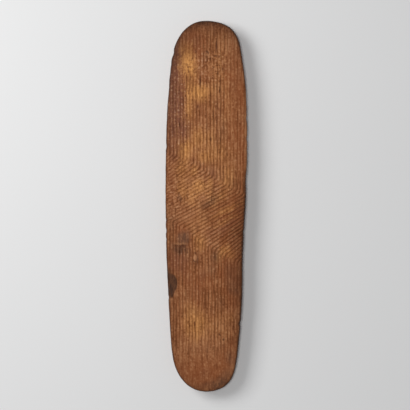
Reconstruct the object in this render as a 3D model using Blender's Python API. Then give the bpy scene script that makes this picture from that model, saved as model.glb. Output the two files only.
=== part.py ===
"""Fluted wooden shield, carved from one piece: a long bowed board with a grip left standing on its back.

The shield lies on its grip with the fluted face up. X runs across it, Y from foot to head, Z up.
The origin is under the middle of the board, in the plane of the grip's flat sole.
Sizes are in metres.
"""
import math

import bmesh
import bpy
import numpy as np

# The board
LENGTH = 0.744
WIDTH = 0.164
THICKNESS = 0.024  # at the middle
EDGE_THICKNESS = 0.0105  # all round, where the rim starts to round over
BACK_RISE = 0.0035  # the back's long edges stand this much higher than its middle
BOW = 0.006  # head and foot are swept back by this much
RIM_ROUNDING = 0.004  # how far in from the edge the rounded rim starts

# The free-hand outline: half widths as shares of half the full width, every 15 degrees from head to foot.
# A station's height is half the length times the cosine of its angle.
HALF_WIDTHS_RIGHT = (0.0, 0.561, 0.832, 0.945, 0.993, 1.002, 0.961, 0.899, 0.880, 0.811, 0.720, 0.482, 0.0)
HALF_WIDTHS_LEFT = (0.0, 0.457, 0.766, 0.894, 0.962, 0.995, 1.000, 0.978, 0.928, 0.877, 0.760, 0.449, 0.0)

# The flutes: upright at head and foot, and slanting across the middle in a band that fans out
FLUTE_PITCH_HEAD = 0.0068
FLUTE_PITCH_BAND = 0.00636
FLUTE_PITCH_FOOT = 0.0063
FLUTE_DEPTH = 0.0013
GROOVE_SHARE = 0.5  # of the pitch; the rest is the ridge
BAND_SLANT = math.radians(29.0)  # above the horizontal, rising to the right
BAND_FAN = -0.36  # turn of the band's flutes for each metre down across it, in radians
BAND_FAN_GROWTH = 8.5  # and for each square metre
HEAD_BEND_HEIGHT = 0.064  # where the flutes bend on the long axis, above the middle
FOOT_BEND_HEIGHT = -0.078
BEND_LENGTH = 0.008  # the rounded corner takes this much of a flute on either side of its bend
SMOOTH_END = 0.026  # head and foot are smooth for this length
FADE_LENGTH = 0.066  # over which the flutes fade in from the smooth ends

# The grip
GRIP_DEPTH = 0.033  # from the back of the board to the sole
GRIP_WIDTH = 0.030
GRIP_ROOT_SPREAD = 0.004  # the grip widens by this much on each side as it meets the board
GRIP_END_SPREAD = 0.006  # and by this much more towards its two ends
SOLE_EDGE_WIDTH = 0.004  # of the rounded edge on each side of the sole
SOLE_EDGE_HEIGHT = 0.006
SOLE_MARGIN = 0.004  # the sole runs on by this much past each end of the finger hollow
RAMP_LENGTH = 0.043  # from each end of the sole up into the board
GRIP_BAR_THICKNESS = 0.013  # the wood under the fingers, at the middle
HOLLOW_LENGTH = 0.092  # room for four fingers
HOLLOW_SIDE_REACH = 0.025  # how far the hollow is scooped out on each side of the grip
HOLLOW_SCOOP = 0.006  # how deep the finger hollow is scooped into the board
HOLLOW_FULLNESS = 3.0  # 2 is an ellipsoid, more is boxier

# Places that follow from those sizes
FLUTE_REACH = LENGTH / 2.0 - SMOOTH_END
FULL_DEPTH_REACH = FLUTE_REACH - FADE_LENGTH
SOLE_REACH = HOLLOW_LENGTH / 2.0 + SOLE_MARGIN

# Allowances for cutting and joining
CARVING_ALLOWANCE = 0.001  # wood left on the face for the flutes to be cut from
GRIP_BITE = 0.005  # how far the grip is sunk into the board before they are joined
CUTTER_MARGIN = 0.012  # how far cutters reach past what they cut

# How finely the curved surfaces are faceted
OUTLINE_POINTS = 120
RIM_STEPS = 6
RING_SHARES = (0.0, 0.35, 0.7)  # rings of the face and the back, from the middle line out to the rim
UPRIGHT_STEPS = 3  # of a flute, between its bend and where it starts to fade
CORNER_STEPS = 3
BAND_STEPS = 5
RAMP_STEPS = 7
CORNER_POINTS = 5  # across each rounded edge of the grip's sole
HOLLOW_LEVELS = 14
HOLLOW_POINTS = 32
SLOPE_STEPS = 6
SLOPE_REACH = 0.0001

WOOD_COLOR = (0.27, 0.125, 0.052, 1.0)
WOOD_ROUGHNESS = 0.6


def smooth_step(value):
    """Ease from 0 to 1 with level ends."""
    value = np.clip(value, 0.0, 1.0)
    return value * value * (3.0 - 2.0 * value)


def remove_scene_objects():
    """Empty the scene that the script starts in."""
    for old in list(bpy.data.objects):
        bpy.data.objects.remove(old, do_unlink=True)


def wood_material():
    """Return the brown wood of the whole shield."""
    material = bpy.data.materials.new("wood")
    material.use_nodes = True
    shader = material.node_tree.nodes["Principled BSDF"]
    shader.inputs["Base Color"].default_value = WOOD_COLOR
    shader.inputs["Roughness"].default_value = WOOD_ROUGHNESS
    shader.inputs["Metallic"].default_value = 0.0
    return material


def object_from(name, points, faces):
    """Make an object from points and faces, with doubles merged and faces pointing out."""
    mesh = bpy.data.meshes.new(name)
    mesh.from_pydata([tuple(point) for point in points], [], faces)
    shape = bmesh.new()
    shape.from_mesh(mesh)
    bmesh.ops.remove_doubles(shape, verts=shape.verts, dist=1e-6)
    bmesh.ops.recalc_face_normals(shape, faces=shape.faces)
    shape.to_mesh(mesh)
    shape.free()
    made = bpy.data.objects.new(name, mesh)
    bpy.context.scene.collection.objects.link(made)
    return made


def tube_faces(rows, columns):
    """Return the quads between the rows of a grid whose columns close on themselves."""
    return [
        (row * columns + column, row * columns + (column + 1) % columns,
         (row + 1) * columns + (column + 1) % columns, (row + 1) * columns + column)
        for row in range(rows - 1)
        for column in range(columns)
    ]


def closed_spline(stations, places):
    """Return the smooth closed cubic curve through evenly spaced stations, at places counted in stations."""
    count = len(stations)
    system = 4.0 * np.eye(count) + np.roll(np.eye(count), 1, axis=1) + np.roll(np.eye(count), -1, axis=1)
    bends = np.linalg.solve(system, 6.0 * (np.roll(stations, -1) - 2.0 * stations + np.roll(stations, 1)))
    first = np.floor(places).astype(int)
    ahead = places - first
    behind = 1.0 - ahead
    here, following = first % count, (first + 1) % count
    straight = behind * stations[here] + ahead * stations[following]
    return straight + ((behind**3 - behind) * bends[here] + (ahead**3 - ahead) * bends[following]) / 6.0


def outline(count):
    """Return the board's outline as a count by 2 array, clockwise from the head and centred on the axes."""
    stations = np.array(HALF_WIDTHS_RIGHT + tuple(-share for share in HALF_WIDTHS_LEFT[-2:0:-1]))
    turn = np.arange(count) / count
    across = closed_spline(stations, turn * len(stations))
    across = (across - (across.max() + across.min()) / 2.0) * WIDTH / (across.max() - across.min())
    along = LENGTH / 2.0 * np.cos(2.0 * math.pi * turn)
    return np.column_stack((across, along))


def back_height(x, y):
    """Return the height of the board's back, a shallow saddle."""
    return GRIP_DEPTH + BACK_RISE * (2.0 * x / WIDTH) ** 2 - BOW * (2.0 * y / LENGTH) ** 2


def face_height(x, y):
    """Return the height of the board's face before fluting: crowned across, and thinner to head and foot."""
    fullness = np.clip(1.0 - (2.0 * x / WIDTH) ** 2, 0.0, 1.0)
    fullness = fullness * np.clip(1.0 - np.abs(2.0 * y / LENGTH) ** 3, 0.0, 1.0)
    return back_height(x, y) + EDGE_THICKNESS + (THICKNESS - EDGE_THICKNESS) * fullness


def board_blank():
    """Make the board with its rounded rim, from rings that run from the face's middle over to the back's."""
    edge = outline(OUTLINE_POINTS)
    tangent = np.roll(edge, -1, axis=0) - np.roll(edge, 1, axis=0)
    tangent /= np.linalg.norm(tangent, axis=1)[:, None]
    inner = edge + RIM_ROUNDING * np.column_stack((tangent[:, 1], -tangent[:, 0]))
    reach = (LENGTH - WIDTH) / 2.0
    spine = np.column_stack((np.zeros(len(edge)), np.clip(edge[:, 1], -reach, reach)))
    rings = []
    for share in RING_SHARES:
        ring = spine + share * (inner - spine)
        rings.append(np.column_stack((ring, face_height(*ring.T) + CARVING_ALLOWANCE)))
    top = face_height(*inner.T) + CARVING_ALLOWANCE
    bottom = back_height(*inner.T)
    for angle in np.linspace(0.0, math.pi, RIM_STEPS + 1):
        ring = inner + math.sin(angle) * (edge - inner)
        rings.append(np.column_stack((ring, (top + bottom) / 2.0 + math.cos(angle) * (top - bottom) / 2.0)))
    for share in reversed(RING_SHARES):
        ring = spine + share * (inner - spine)
        rings.append(np.column_stack((ring, back_height(*ring.T))))
    return object_from("shield", np.concatenate(rings), tube_faces(len(rings), len(edge)))


def band_count(x, y):
    """Return how many flutes lie before a point of the slanting band, counted down across it."""
    across = x * math.sin(BAND_SLANT) - y * math.cos(BAND_SLANT)
    along = x * math.cos(BAND_SLANT) + y * math.sin(BAND_SLANT)
    return (across + along * (BAND_FAN * across + BAND_FAN_GROWTH * across**2)) / FLUTE_PITCH_BAND


def band_height(count, x):
    """Return where along Y the slanting flute of a count is at x, by repeated slope steps."""
    y = (x * math.sin(BAND_SLANT) - count * FLUTE_PITCH_BAND) / math.cos(BAND_SLANT)
    for _ in range(SLOPE_STEPS):
        slope = (band_count(x, y + SLOPE_REACH) - band_count(x, y - SLOPE_REACH)) / (2.0 * SLOPE_REACH)
        y = y - (band_count(x, y) - count) / slope
    return y


def corner(before, bend, after):
    """Return the inner points of a rounded corner, a quadratic curve from before to after."""
    points = []
    for share in np.arange(1, CORNER_STEPS) / CORNER_STEPS:
        points.append((1.0 - share) ** 2 * before + 2.0 * share * (1.0 - share) * bend + share**2 * after)
    return points


def between(start, stop):
    """Return the inner points of a straight upright run."""
    return [start + share * (stop - start) for share in np.arange(1, UPRIGHT_STEPS) / UPRIGHT_STEPS]


def flute_lines(count):
    """Return the lines along the flutes of the given counts, head to foot, as an array (points, lines, 2).

    A flute runs down from the head, bends into the slanting band, and bends again towards the foot.
    The counts are those of the band, so the upright runs lie where the band's count reaches the two bends.
    """
    head_x = (count - band_count(0.0, HEAD_BEND_HEIGHT)) * FLUTE_PITCH_HEAD
    foot_x = (count - band_count(0.0, FOOT_BEND_HEIGHT)) * FLUTE_PITCH_FOOT
    head_bend = np.column_stack((head_x, band_height(count, head_x)))
    foot_bend = np.column_stack((foot_x, band_height(count, foot_x)))
    above_band = head_bend + (0.0, BEND_LENGTH)
    below_band = foot_bend - (0.0, BEND_LENGTH)
    band_start = head_x - BEND_LENGTH * math.cos(BAND_SLANT)
    band_stop = foot_x + BEND_LENGTH * math.cos(BAND_SLANT)
    band = []
    for share in np.linspace(0.0, 1.0, BAND_STEPS + 1):
        x = band_start + share * (band_stop - band_start)
        band.append(np.column_stack((x, band_height(count, x))))
    end = LENGTH / 2.0 + CUTTER_MARGIN
    fading = (end, FLUTE_REACH, (FLUTE_REACH + FULL_DEPTH_REACH) / 2.0, FULL_DEPTH_REACH)
    head_run = [np.column_stack((head_x, np.full_like(head_x, y))) for y in fading]
    foot_run = [np.column_stack((foot_x, np.full_like(foot_x, -y))) for y in reversed(fading)]
    head_run += between(head_run[-1], above_band) + [above_band]
    foot_run = [below_band] + between(below_band, foot_run[0]) + foot_run
    head_corner = corner(above_band, head_bend, band[0])
    foot_corner = corner(band[-1], foot_bend, below_band)
    return np.array(head_run + head_corner + band + foot_corner + foot_run)


def flute_cutter():
    """Make the block of wood that the carver takes off the face: its underside is the fluted surface."""
    reach = WIDTH / 2.0 + CUTTER_MARGIN
    first = math.floor(band_count(0.0, HEAD_BEND_HEIGHT) - reach / FLUTE_PITCH_HEAD)
    last = math.ceil(band_count(0.0, FOOT_BEND_HEIGHT) + reach / FLUTE_PITCH_FOOT)
    counts = np.arange(first, last + 1)[:, None] + np.array((-GROOVE_SHARE / 2.0, 0.0, GROOVE_SHARE / 2.0))
    lines = flute_lines(counts.ravel())
    cut = np.tile((0.0, 1.0, 0.0), len(counts)) * FLUTE_DEPTH
    x, y = lines[..., 0], lines[..., 1]
    fade = smooth_step((FLUTE_REACH - np.abs(y)) / FADE_LENGTH)
    surface = face_height(np.clip(x, -reach, reach), y) - cut * fade
    rows, columns = x.shape
    below = np.dstack((x, y, surface)).reshape(-1, 3)
    above = np.column_stack((below[:, :2], np.full(len(below), GRIP_DEPTH + THICKNESS + CUTTER_MARGIN)))
    border = list(range(columns))
    border += [row * columns + columns - 1 for row in range(1, rows)]
    border += [(rows - 1) * columns + column for column in range(columns - 2, -1, -1)]
    border += [row * columns for row in range(rows - 2, 0, -1)]
    lid = len(below)
    faces = [
        (row * columns + column, row * columns + column + 1,
         (row + 1) * columns + column + 1, (row + 1) * columns + column)
        for row in range(rows - 1)
        for column in range(columns - 1)
    ]
    for place, start in enumerate(border):
        following = (place + 1) % len(border)
        faces.append((start, lid + place, lid + following, border[following]))
    faces.append(tuple(range(lid, lid + len(border))))
    return object_from("flute_cutter", np.concatenate((below, above[border])), faces)


def grip_section(sole, spread):
    """Return one half of the grip's cross-section as (x, z) points, from the sole's edge up to its root."""
    top = GRIP_DEPTH + GRIP_BITE
    edge_height = min(SOLE_EDGE_HEIGHT, (top - sole) / 2.0)
    points = []
    for angle in np.linspace(0.0, math.pi / 2.0, CORNER_POINTS):
        points.append((GRIP_WIDTH / 2.0 - SOLE_EDGE_WIDTH * (1.0 - math.sin(angle)),
                       sole + edge_height * (1.0 - math.cos(angle))))
    side_start = sole + edge_height
    for share in (0.5, 0.8, 1.0):
        points.append((GRIP_WIDTH / 2.0 + spread * share**2, side_start + share * (top - side_start)))
    return points


def grip_solid():
    """Make the grip: a bar along the back with a flat sole and ends that ramp up into the board."""
    ends = SOLE_REACH + RAMP_LENGTH * np.linspace(1.0, 0.0, RAMP_STEPS + 1)
    stations = np.concatenate((-ends, ends[::-1]))
    sunk = GRIP_DEPTH + GRIP_BITE / 2.0
    points = []
    for y in stations:
        climb = float(smooth_step((abs(y) - SOLE_REACH) / RAMP_LENGTH))
        half = grip_section(sunk * climb, GRIP_ROOT_SPREAD + GRIP_END_SPREAD * climb)
        points += [(x, y, z) for x, z in half] + [(-x, y, z) for x, z in reversed(half)]
    around = len(points) // len(stations)
    faces = tube_faces(len(stations), around)
    faces += [tuple(range(around)), tuple(range(len(points) - around, len(points)))]
    return object_from("grip_blank", points, faces)


def finger_hollow():
    """Make the finger hollow's cutter: a boxy ellipsoid, deep through the grip and shallow in the board."""
    power = 2.0 / HOLLOW_FULLNESS
    half_width = GRIP_WIDTH / 2.0 + HOLLOW_SIDE_REACH
    points = []
    for level in range(HOLLOW_LEVELS + 1):
        tilt = math.pi * (level / HOLLOW_LEVELS - 0.5)
        drop = GRIP_DEPTH - GRIP_BAR_THICKNESS if tilt < 0.0 else HOLLOW_SCOOP
        height = math.copysign(abs(math.sin(tilt)) ** power, tilt) * drop
        size = abs(math.cos(tilt)) ** power if 0 < level < HOLLOW_LEVELS else 0.0
        for place in range(HOLLOW_POINTS):
            turn = 2.0 * math.pi * (place + 0.5) / HOLLOW_POINTS
            x = math.copysign(abs(math.cos(turn)) ** power, math.cos(turn)) * size * half_width
            y = math.copysign(abs(math.sin(turn)) ** power, math.sin(turn)) * size * HOLLOW_LENGTH / 2.0
            points.append((x, y, GRIP_DEPTH + height))
    return object_from("finger_hollow", points, tube_faces(HOLLOW_LEVELS + 1, HOLLOW_POINTS))


def combine(target, tool, operation):
    """Join a tool shape to the target or cut it from the target, and leave the tool as a hidden guide."""
    step = target.modifiers.new(tool.name, "BOOLEAN")
    step.operation = operation
    step.object = tool
    step.solver = "EXACT"
    tool.hide_render = True
    tool.display_type = "WIRE"


def build_shield():
    """Carve the shield: join the grip to the board, hollow it for the fingers and cut the flutes."""
    shield = board_blank()
    combine(shield, grip_solid(), "UNION")
    combine(shield, finger_hollow(), "DIFFERENCE")
    combine(shield, flute_cutter(), "DIFFERENCE")
    shield.data.shade_smooth()
    shield.data.set_sharp_from_angle(angle=math.radians(30.0))
    shield.data.materials.append(wood_material())


remove_scene_objects()
build_shield()
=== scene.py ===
"""Looks of a fluted wooden shield carved from one piece: its carving, its wear, its wood and a plain studio.

The shield lies on its grip with the fluted face up. X runs across it, Y from foot to head, Z up. Sizes are in
metres, but notches, ovals and rim shades are given in millimetres and degrees, because there are many of
them. The board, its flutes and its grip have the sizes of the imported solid, and are carved much more finely
here.
"""
from __future__ import annotations

import logging
import math
from dataclasses import dataclass, field
from enum import Enum

import bmesh
import bpy
import numpy as np
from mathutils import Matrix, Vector

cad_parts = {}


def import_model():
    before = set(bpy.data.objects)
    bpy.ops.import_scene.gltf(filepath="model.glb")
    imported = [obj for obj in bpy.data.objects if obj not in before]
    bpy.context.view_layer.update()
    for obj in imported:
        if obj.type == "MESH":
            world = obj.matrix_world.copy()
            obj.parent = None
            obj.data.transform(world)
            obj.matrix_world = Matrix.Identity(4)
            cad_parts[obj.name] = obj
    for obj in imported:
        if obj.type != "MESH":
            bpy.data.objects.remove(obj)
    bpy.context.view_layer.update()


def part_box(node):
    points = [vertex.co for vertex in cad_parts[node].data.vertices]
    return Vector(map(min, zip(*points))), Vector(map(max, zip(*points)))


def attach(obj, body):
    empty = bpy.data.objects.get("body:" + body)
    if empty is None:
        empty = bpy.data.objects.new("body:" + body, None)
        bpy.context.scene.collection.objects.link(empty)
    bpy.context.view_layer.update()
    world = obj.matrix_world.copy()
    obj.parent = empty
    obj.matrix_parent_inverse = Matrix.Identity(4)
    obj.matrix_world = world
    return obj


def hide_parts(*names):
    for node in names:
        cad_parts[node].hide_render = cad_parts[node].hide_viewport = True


LOG = logging.getLogger("shield")
MARK_MAP = "marks"  # the UV map that carries the flutes' count and the way along them
NOT_FLUTED = -1000.0  # the count that marks wood without flutes
MM = 0.001  # a millimetre in metres
SAME_PLACE = 1e-6  # how close together points are to count as one
DARK_PLACE = (-76.6, -154.8, 19.2, 21.6)  # the black place on the left edge: its middle and half sizes in mm

# The attributes of the mesh that aren't stains
PLAIN_MARKS = (
    "groove", "flute_tone", "flute_count", "flute_run", "carved", "chop", "dent_dirt", "rim", "rim_shade")

Colour = tuple[float, float, float, float]
Place = tuple[float, float, float]
Socket = bpy.types.NodeSocket
Input = Socket | float | Colour | Place


class Side(Enum):
    """A long edge of the board, by the sign of its X."""

    LEFT = -1.0
    RIGHT = 1.0


class Stain(Enum):
    """What colours a part of the face, by the name of the mesh attribute that carries it."""

    GOLD = "stain_gold"
    PURPLE = "stain_purple"
    RED = "stain_red"
    GREY = "stain_grey"
    PALE = "stain_pale"
    BLACK = "stain_black"


class Joinery(Enum):
    """How one shape acts on another."""

    JOIN = "UNION"
    CUT = "DIFFERENCE"


class Stretch(Enum):
    """How a pattern is drawn out along the grain, by its scale along Y."""

    EVEN = 1.0
    SHORT = 0.16
    LONG = 0.055


def smooth_step(value: np.ndarray) -> np.ndarray:
    """Ease from 0 to 1 with level ends: 3 v squared less 2 v cubed, with v held between 0 and 1."""
    value = np.clip(value, 0.0, 1.0)
    return value * value * (3.0 - 2.0 * value)


@dataclass(frozen=True)
class Noise:
    """Smooth seeded noise over a plane, from its height below 0 to its height above.

    Random values stand at the corners of cells of the given width and length, and are eased into each other.
    """

    seed: int
    width: float
    length: float
    height: float = 1.0
    period: int = 256
    layers: int = 3
    layer_shift: tuple[float, float] = (17.3, 41.9)

    def in_cells(self, u: np.ndarray, v: np.ndarray) -> np.ndarray:
        """Return the noise from -1 to 1.

        Args:
            u: first coordinates, counted in cells.
            v: second coordinates, of a shape that goes with the first.

        Returns:
            The values, of the same shape.
        """
        table = np.random.default_rng(self.seed).uniform(-1.0, 1.0, (self.period, self.period))
        column, row = np.floor(u).astype(int), np.floor(v).astype(int)
        ease_u, ease_v = smooth_step(u - column), smooth_step(v - row)
        west, east = column % self.period, (column + 1) % self.period
        south, north = row % self.period, (row + 1) % self.period
        lower = table[south, west] * (1.0 - ease_u) + table[south, east] * ease_u
        upper = table[north, west] * (1.0 - ease_u) + table[north, east] * ease_u
        return lower * (1.0 - ease_v) + upper * ease_v

    def at(self, x: np.ndarray, y: np.ndarray) -> np.ndarray:
        """Return one layer of the noise at places."""
        return self.height * self.in_cells(x / self.width, y / self.length)

    def layered(self, x: np.ndarray, y: np.ndarray) -> np.ndarray:
        """Return some layers of the noise, each twice as fine and half as high as the one before it.

        Args:
            x: first coordinates of the places.
            y: second coordinates, of a shape that goes with the first.

        Returns:
            The sum of the layers, over the sum of their shares.
        """
        total, shares = 0.0, 0.0
        for layer in range(self.layers):
            finer = 2.0**layer
            u = x / self.width * finer + self.layer_shift[0] * layer
            v = y / self.length * finer + self.layer_shift[1] * layer
            total = total + self.in_cells(u, v) / finer
            shares += 1.0 / finer
        return self.height * (total / shares)


@dataclass(frozen=True)
class BladeMarks:
    """Shallow dishes that a blade leaves side by side on dressed wood.

    Each dish is a paraboloid round a seeded centre in its own cell, and the deepest one at a place shows.
    """

    seed: int
    width: float
    length: float
    depth: float
    period: int = 64
    squared_reach: float = 0.7

    def depth_at(self, x: np.ndarray, y: np.ndarray) -> np.ndarray:
        """Return the depth of the dishes at places on the surface.

        Args:
            x: places across the grain.
            y: places along the grain.

        Returns:
            Depths, from 0 to the full depth of a dish.
        """
        centres = np.random.default_rng(self.seed).uniform(0.0, 1.0, (self.period, self.period, 2))
        u, v = x / self.width, y / self.length
        column, row = np.floor(u).astype(int), np.floor(v).astype(int)
        nearest = np.full(u.shape, np.inf)
        for aside in (-1, 0, 1):
            for onward in (-1, 0, 1):
                centre = centres[(row + onward) % self.period, (column + aside) % self.period]
                gap_u = u - column - aside - centre[..., 0]
                gap_v = v - row - onward - centre[..., 1]
                nearest = np.minimum(nearest, gap_u**2 + gap_v**2)
        return self.depth * np.clip(1.0 - nearest / self.squared_reach, 0.0, 1.0)


@dataclass(frozen=True)
class Notch:
    """A place where the rim is worn in: its depth and its reach above and below, in millimetres."""

    side: Side
    y: float
    depth: float
    above: float
    below: float

    def depth_at(self, y: np.ndarray) -> np.ndarray:
        """Return how far the edge is set in: the depth eases to nothing above and below the deepest place."""
        reach = np.where(y > self.y * MM, self.above, self.below) * MM
        return self.depth * MM * smooth_step(1.0 - np.abs(y - self.y * MM) / reach)


@dataclass(frozen=True)
class Oval:
    """An oval place on the face, in millimetres. Its long axis leans from Y towards X by some degrees."""

    x: float
    y: float
    half_width: float
    half_length: float
    lean: float = field(default=0.0, kw_only=True)

    def radius_at(self, x: np.ndarray, y: np.ndarray) -> np.ndarray:
        """Return the distance from the centre as a share of the oval's own reach: 1 on its edge.

        Args:
            x: places across the board, in metres.
            y: places along it.

        Returns:
            The shares, of the same shape.
        """
        aside, up, lean = x / MM - self.x, y / MM - self.y, math.radians(self.lean)
        across = aside * math.cos(lean) - up * math.sin(lean)
        along = aside * math.sin(lean) + up * math.cos(lean)
        return np.hypot(across / self.half_width, along / self.half_length)


@dataclass(frozen=True)
class Dent(Oval):
    """A tick, chip or hole in the face, deepest in its middle, with its depth in millimetres and its dirt.

    Dirt below 0 is clean wood laid bare.
    """

    depth: float = 0.6
    dirt: float = field(default=1.0, kw_only=True)
    dirt_reach: float = field(default=1.3, kw_only=True)

    def depth_at(self, x: np.ndarray, y: np.ndarray) -> np.ndarray:
        """Return the dent's depth: full in the middle, less by the square of the radius."""
        return self.depth * MM * np.clip(1.0 - self.radius_at(x, y) ** 2, 0.0, 1.0)

    def dirt_at(self, x: np.ndarray, y: np.ndarray) -> np.ndarray:
        """Return the dent's dirt, which fades to nothing just past its edge."""
        return self.dirt * np.clip(self.dirt_reach - self.radius_at(x, y), 0.0, 1.0)


@dataclass(frozen=True)
class Wear(Oval):
    """A worn or sunken place of the face, with how much is gone in its middle.

    On flutes that is a share of their depth, and below 0 they are cut deeper. A sunken place gives it in
    metres.
    """

    loss: float = 0.5
    outer_radius: float = field(default=1.25, kw_only=True)
    fade: float = field(default=0.5, kw_only=True)

    def loss_at(self, x: np.ndarray, y: np.ndarray, push: np.ndarray) -> np.ndarray:
        """Return how much is gone, eased to nothing at the outer radius, with the border pushed about."""
        return self.loss * smooth_step((self.outer_radius - self.radius_at(x, y) - push) / self.fade)


@dataclass(frozen=True)
class Patch(Oval):
    """A coloured area of the face. Its strength halves at the oval's edge, sharply or softly."""

    strength: float = 1.0
    hardness: float = field(default=0.0, kw_only=True)

    def strength_at(self, x: np.ndarray, y: np.ndarray) -> np.ndarray:
        """Return the strength, eased from full at the hardness radius to none as far past the edge."""
        past = (self.radius_at(x, y) - self.hardness) / (2.0 * (1.0 - self.hardness))
        return self.strength * (1.0 - smooth_step(past))


@dataclass(frozen=True)
class RimShade:
    """How dark the rim's grime and painted shade are at a place on it, and how far in they reach, in
    millimetres.
    """

    side: Side
    y: float
    strength: float
    reach: float


@dataclass
class Outline:
    """The board's free-hand outline, and how it is worn.

    The half widths are shares of half the full width, every 15 degrees from head to foot. A station's height
    is half the length times the cosine of its angle, and a smooth closed cubic curve runs through all the
    stations.
    """

    length: float
    width: float
    half_widths_right: tuple[float, ...] = (
        0.0, 0.561, 0.832, 0.945, 0.993, 1.002, 0.961, 0.899, 0.880, 0.811, 0.720, 0.482, 0.0)
    half_widths_left: tuple[float, ...] = (
        0.0, 0.457, 0.766, 0.894, 0.962, 0.995, 1.000, 0.978, 0.928, 0.877, 0.760, 0.449, 0.0)
    notches: tuple[Notch, ...] = (
        Notch(Side.LEFT, 304.5, 2.1, 12, 4), Notch(Side.LEFT, 284, 0.4, 6, 8),
        Notch(Side.LEFT, 230, 0.7, 30, 30), Notch(Side.LEFT, 118, 1.2, 12, 6),
        Notch(Side.LEFT, -28, 1, 6, 6), Notch(Side.LEFT, -49, 1.4, 8, 5),
        Notch(Side.LEFT, -66, 0.8, 6, 4), Notch(Side.LEFT, -181, 1.1, 4, 8),
        Notch(Side.RIGHT, 176, 1, 6, 9), Notch(Side.RIGHT, 136, 1.3, 8, 5),
        Notch(Side.RIGHT, 112, 0.8, 5, 7), Notch(Side.RIGHT, 288, 1.4, 45, 40),
        Notch(Side.RIGHT, 52, 1.7, 40, 30), Notch(Side.RIGHT, -52, 1, 6, 10),
        Notch(Side.RIGHT, -236, 1.2, 9, 5),
    )
    roughness: Noise = Noise(11, 0.007, 0.007, 0.0005)
    side_shift: float = 0.063
    sampling: int = 1600
    places_at_once: int = 4096

    def closed_spline(self, places: np.ndarray) -> np.ndarray:
        """Return the curve's X.

        The curve is a cubic between each two stations, with slope and bend unbroken at each. The bends solve
        a linear system, in which 4 times a bend plus its two neighbours is 6 times the second difference of
        the stations.

        Args:
            places: places on the curve, counted in stations, clockwise from the head.

        Returns:
            X as a share of half the full width, of the same shape.
        """
        left = tuple(-share for share in self.half_widths_left[-2:0:-1])
        stations = np.array(self.half_widths_right + left)
        count = len(stations)
        system = 4.0 * np.eye(count) + np.roll(np.eye(count), 1, axis=1) + np.roll(np.eye(count), -1, axis=1)
        differences = np.roll(stations, -1) - 2.0 * stations + np.roll(stations, 1)
        bends = np.linalg.solve(system, 6.0 * differences)
        first = np.floor(places).astype(int)
        ahead = places - first
        behind = 1.0 - ahead
        here, following = first % count, (first + 1) % count
        straight = behind * stations[here] + ahead * stations[following]
        return straight + ((behind**3 - behind) * bends[here] + (ahead**3 - ahead) * bends[following]) / 6.0

    def turns(self, count: int) -> np.ndarray:
        """Return angles round the outline, the same on both sides, about evenly spaced along the edge.

        The edge is measured on an ellipse with the board's length and width, whose ends are much like the
        board's.

        Args:
            count: how many angles, an even number.

        Returns:
            The angles, clockwise from the head, in radians.
        """
        dense = np.linspace(0.0, math.pi, self.sampling)
        down, across = self.length / 2.0 * np.cos(dense), self.width / 2.0 * np.sin(dense)
        steps = np.hypot(np.diff(down), np.diff(across))
        travelled = np.concatenate(((0.0,), np.cumsum(steps)))
        half = np.interp(np.linspace(0.0, travelled[-1], count // 2 + 1), travelled, dense)
        return np.concatenate((half, 2.0 * math.pi - half[-2:0:-1]))

    def points(self, count: int) -> np.ndarray:
        """Return the unworn outline as points, clockwise from the head and centred on the axes.

        Args:
            count: how many points, an even number.

        Returns:
            An array of count rows with X and Y.
        """
        stations = len(self.half_widths_right) * 2 - 2
        every = self.closed_spline(np.arange(self.sampling) / self.sampling * stations)
        middle, span = (every.max() + every.min()) / 2.0, every.max() - every.min()
        turn = self.turns(count)
        across = (self.closed_spline(turn / (2.0 * math.pi) * stations) - middle) * self.width / span
        return np.column_stack((across, self.length / 2.0 * np.cos(turn)))

    def worn_points(self, count: int) -> np.ndarray:
        """Return the outline with its notches and a fine roughness, both of them only ever set in.

        Args:
            count: how many points, an even number.

        Returns:
            An array of count rows with X and Y.
        """
        edge = self.points(count)
        x, y = edge.T
        inset = np.zeros(count)
        for notch in self.notches:
            inset += np.where(x * notch.side.value > 0.0, notch.depth_at(y), 0.0)
        inset += np.clip(self.roughness.layered(y, np.sign(x) * self.side_shift + np.abs(x)), 0.0, None)
        return edge - inset[:, None] * outward(edge)

    def margin(self, x: np.ndarray, y: np.ndarray) -> np.ndarray:
        """Return how far places lie inside the outline, by the nearest of its points. Outside it is negative.

        Args:
            x: places across the board.
            y: places along it, of the same shape.

        Returns:
            The distances, of the same shape.
        """
        edge = self.worn_points(self.sampling).astype(np.float32)
        normals = outward(edge)
        places = np.column_stack((np.ravel(x), np.ravel(y))).astype(np.float32)
        found = []
        for some in np.array_split(places, max(1, len(places) // self.places_at_once)):
            squared = (some[:, :1] - edge[:, 0]) ** 2 + (some[:, 1:] - edge[:, 1]) ** 2
            nearest = squared.argmin(axis=1)
            inward = ((edge[nearest] - some) * normals[nearest]).sum(axis=1)
            found.append(np.sign(inward) * np.sqrt(squared[np.arange(len(some)), nearest]))
        return np.concatenate(found).reshape(np.shape(x))


def outward(edge: np.ndarray) -> np.ndarray:
    """Return the outward unit normals of an outline: its tangents turned left by a right angle.

    Args:
        edge: rows with the X and Y of a clockwise closed outline.

    Returns:
        The normals, of the same shape.
    """
    tangent = np.roll(edge, -1, axis=0) - np.roll(edge, 1, axis=0)
    tangent /= np.linalg.norm(tangent, axis=1)[:, None]
    return np.column_stack((-tangent[:, 1], tangent[:, 0]))


def tube_faces(rows: int, columns: int) -> np.ndarray:
    """Return the quads between the rows of a grid whose columns close on themselves.

    Args:
        rows: how many rows of points.
        columns: how many points to a row.

    Returns:
        An array of rows with 4 corners.
    """
    row, column = np.meshgrid(np.arange(rows - 1), np.arange(columns), indexing="ij")
    here, beside = row * columns + column, row * columns + (column + 1) % columns
    return np.stack((here, beside, beside + columns, here + columns), axis=-1).reshape(-1, 4)


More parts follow.
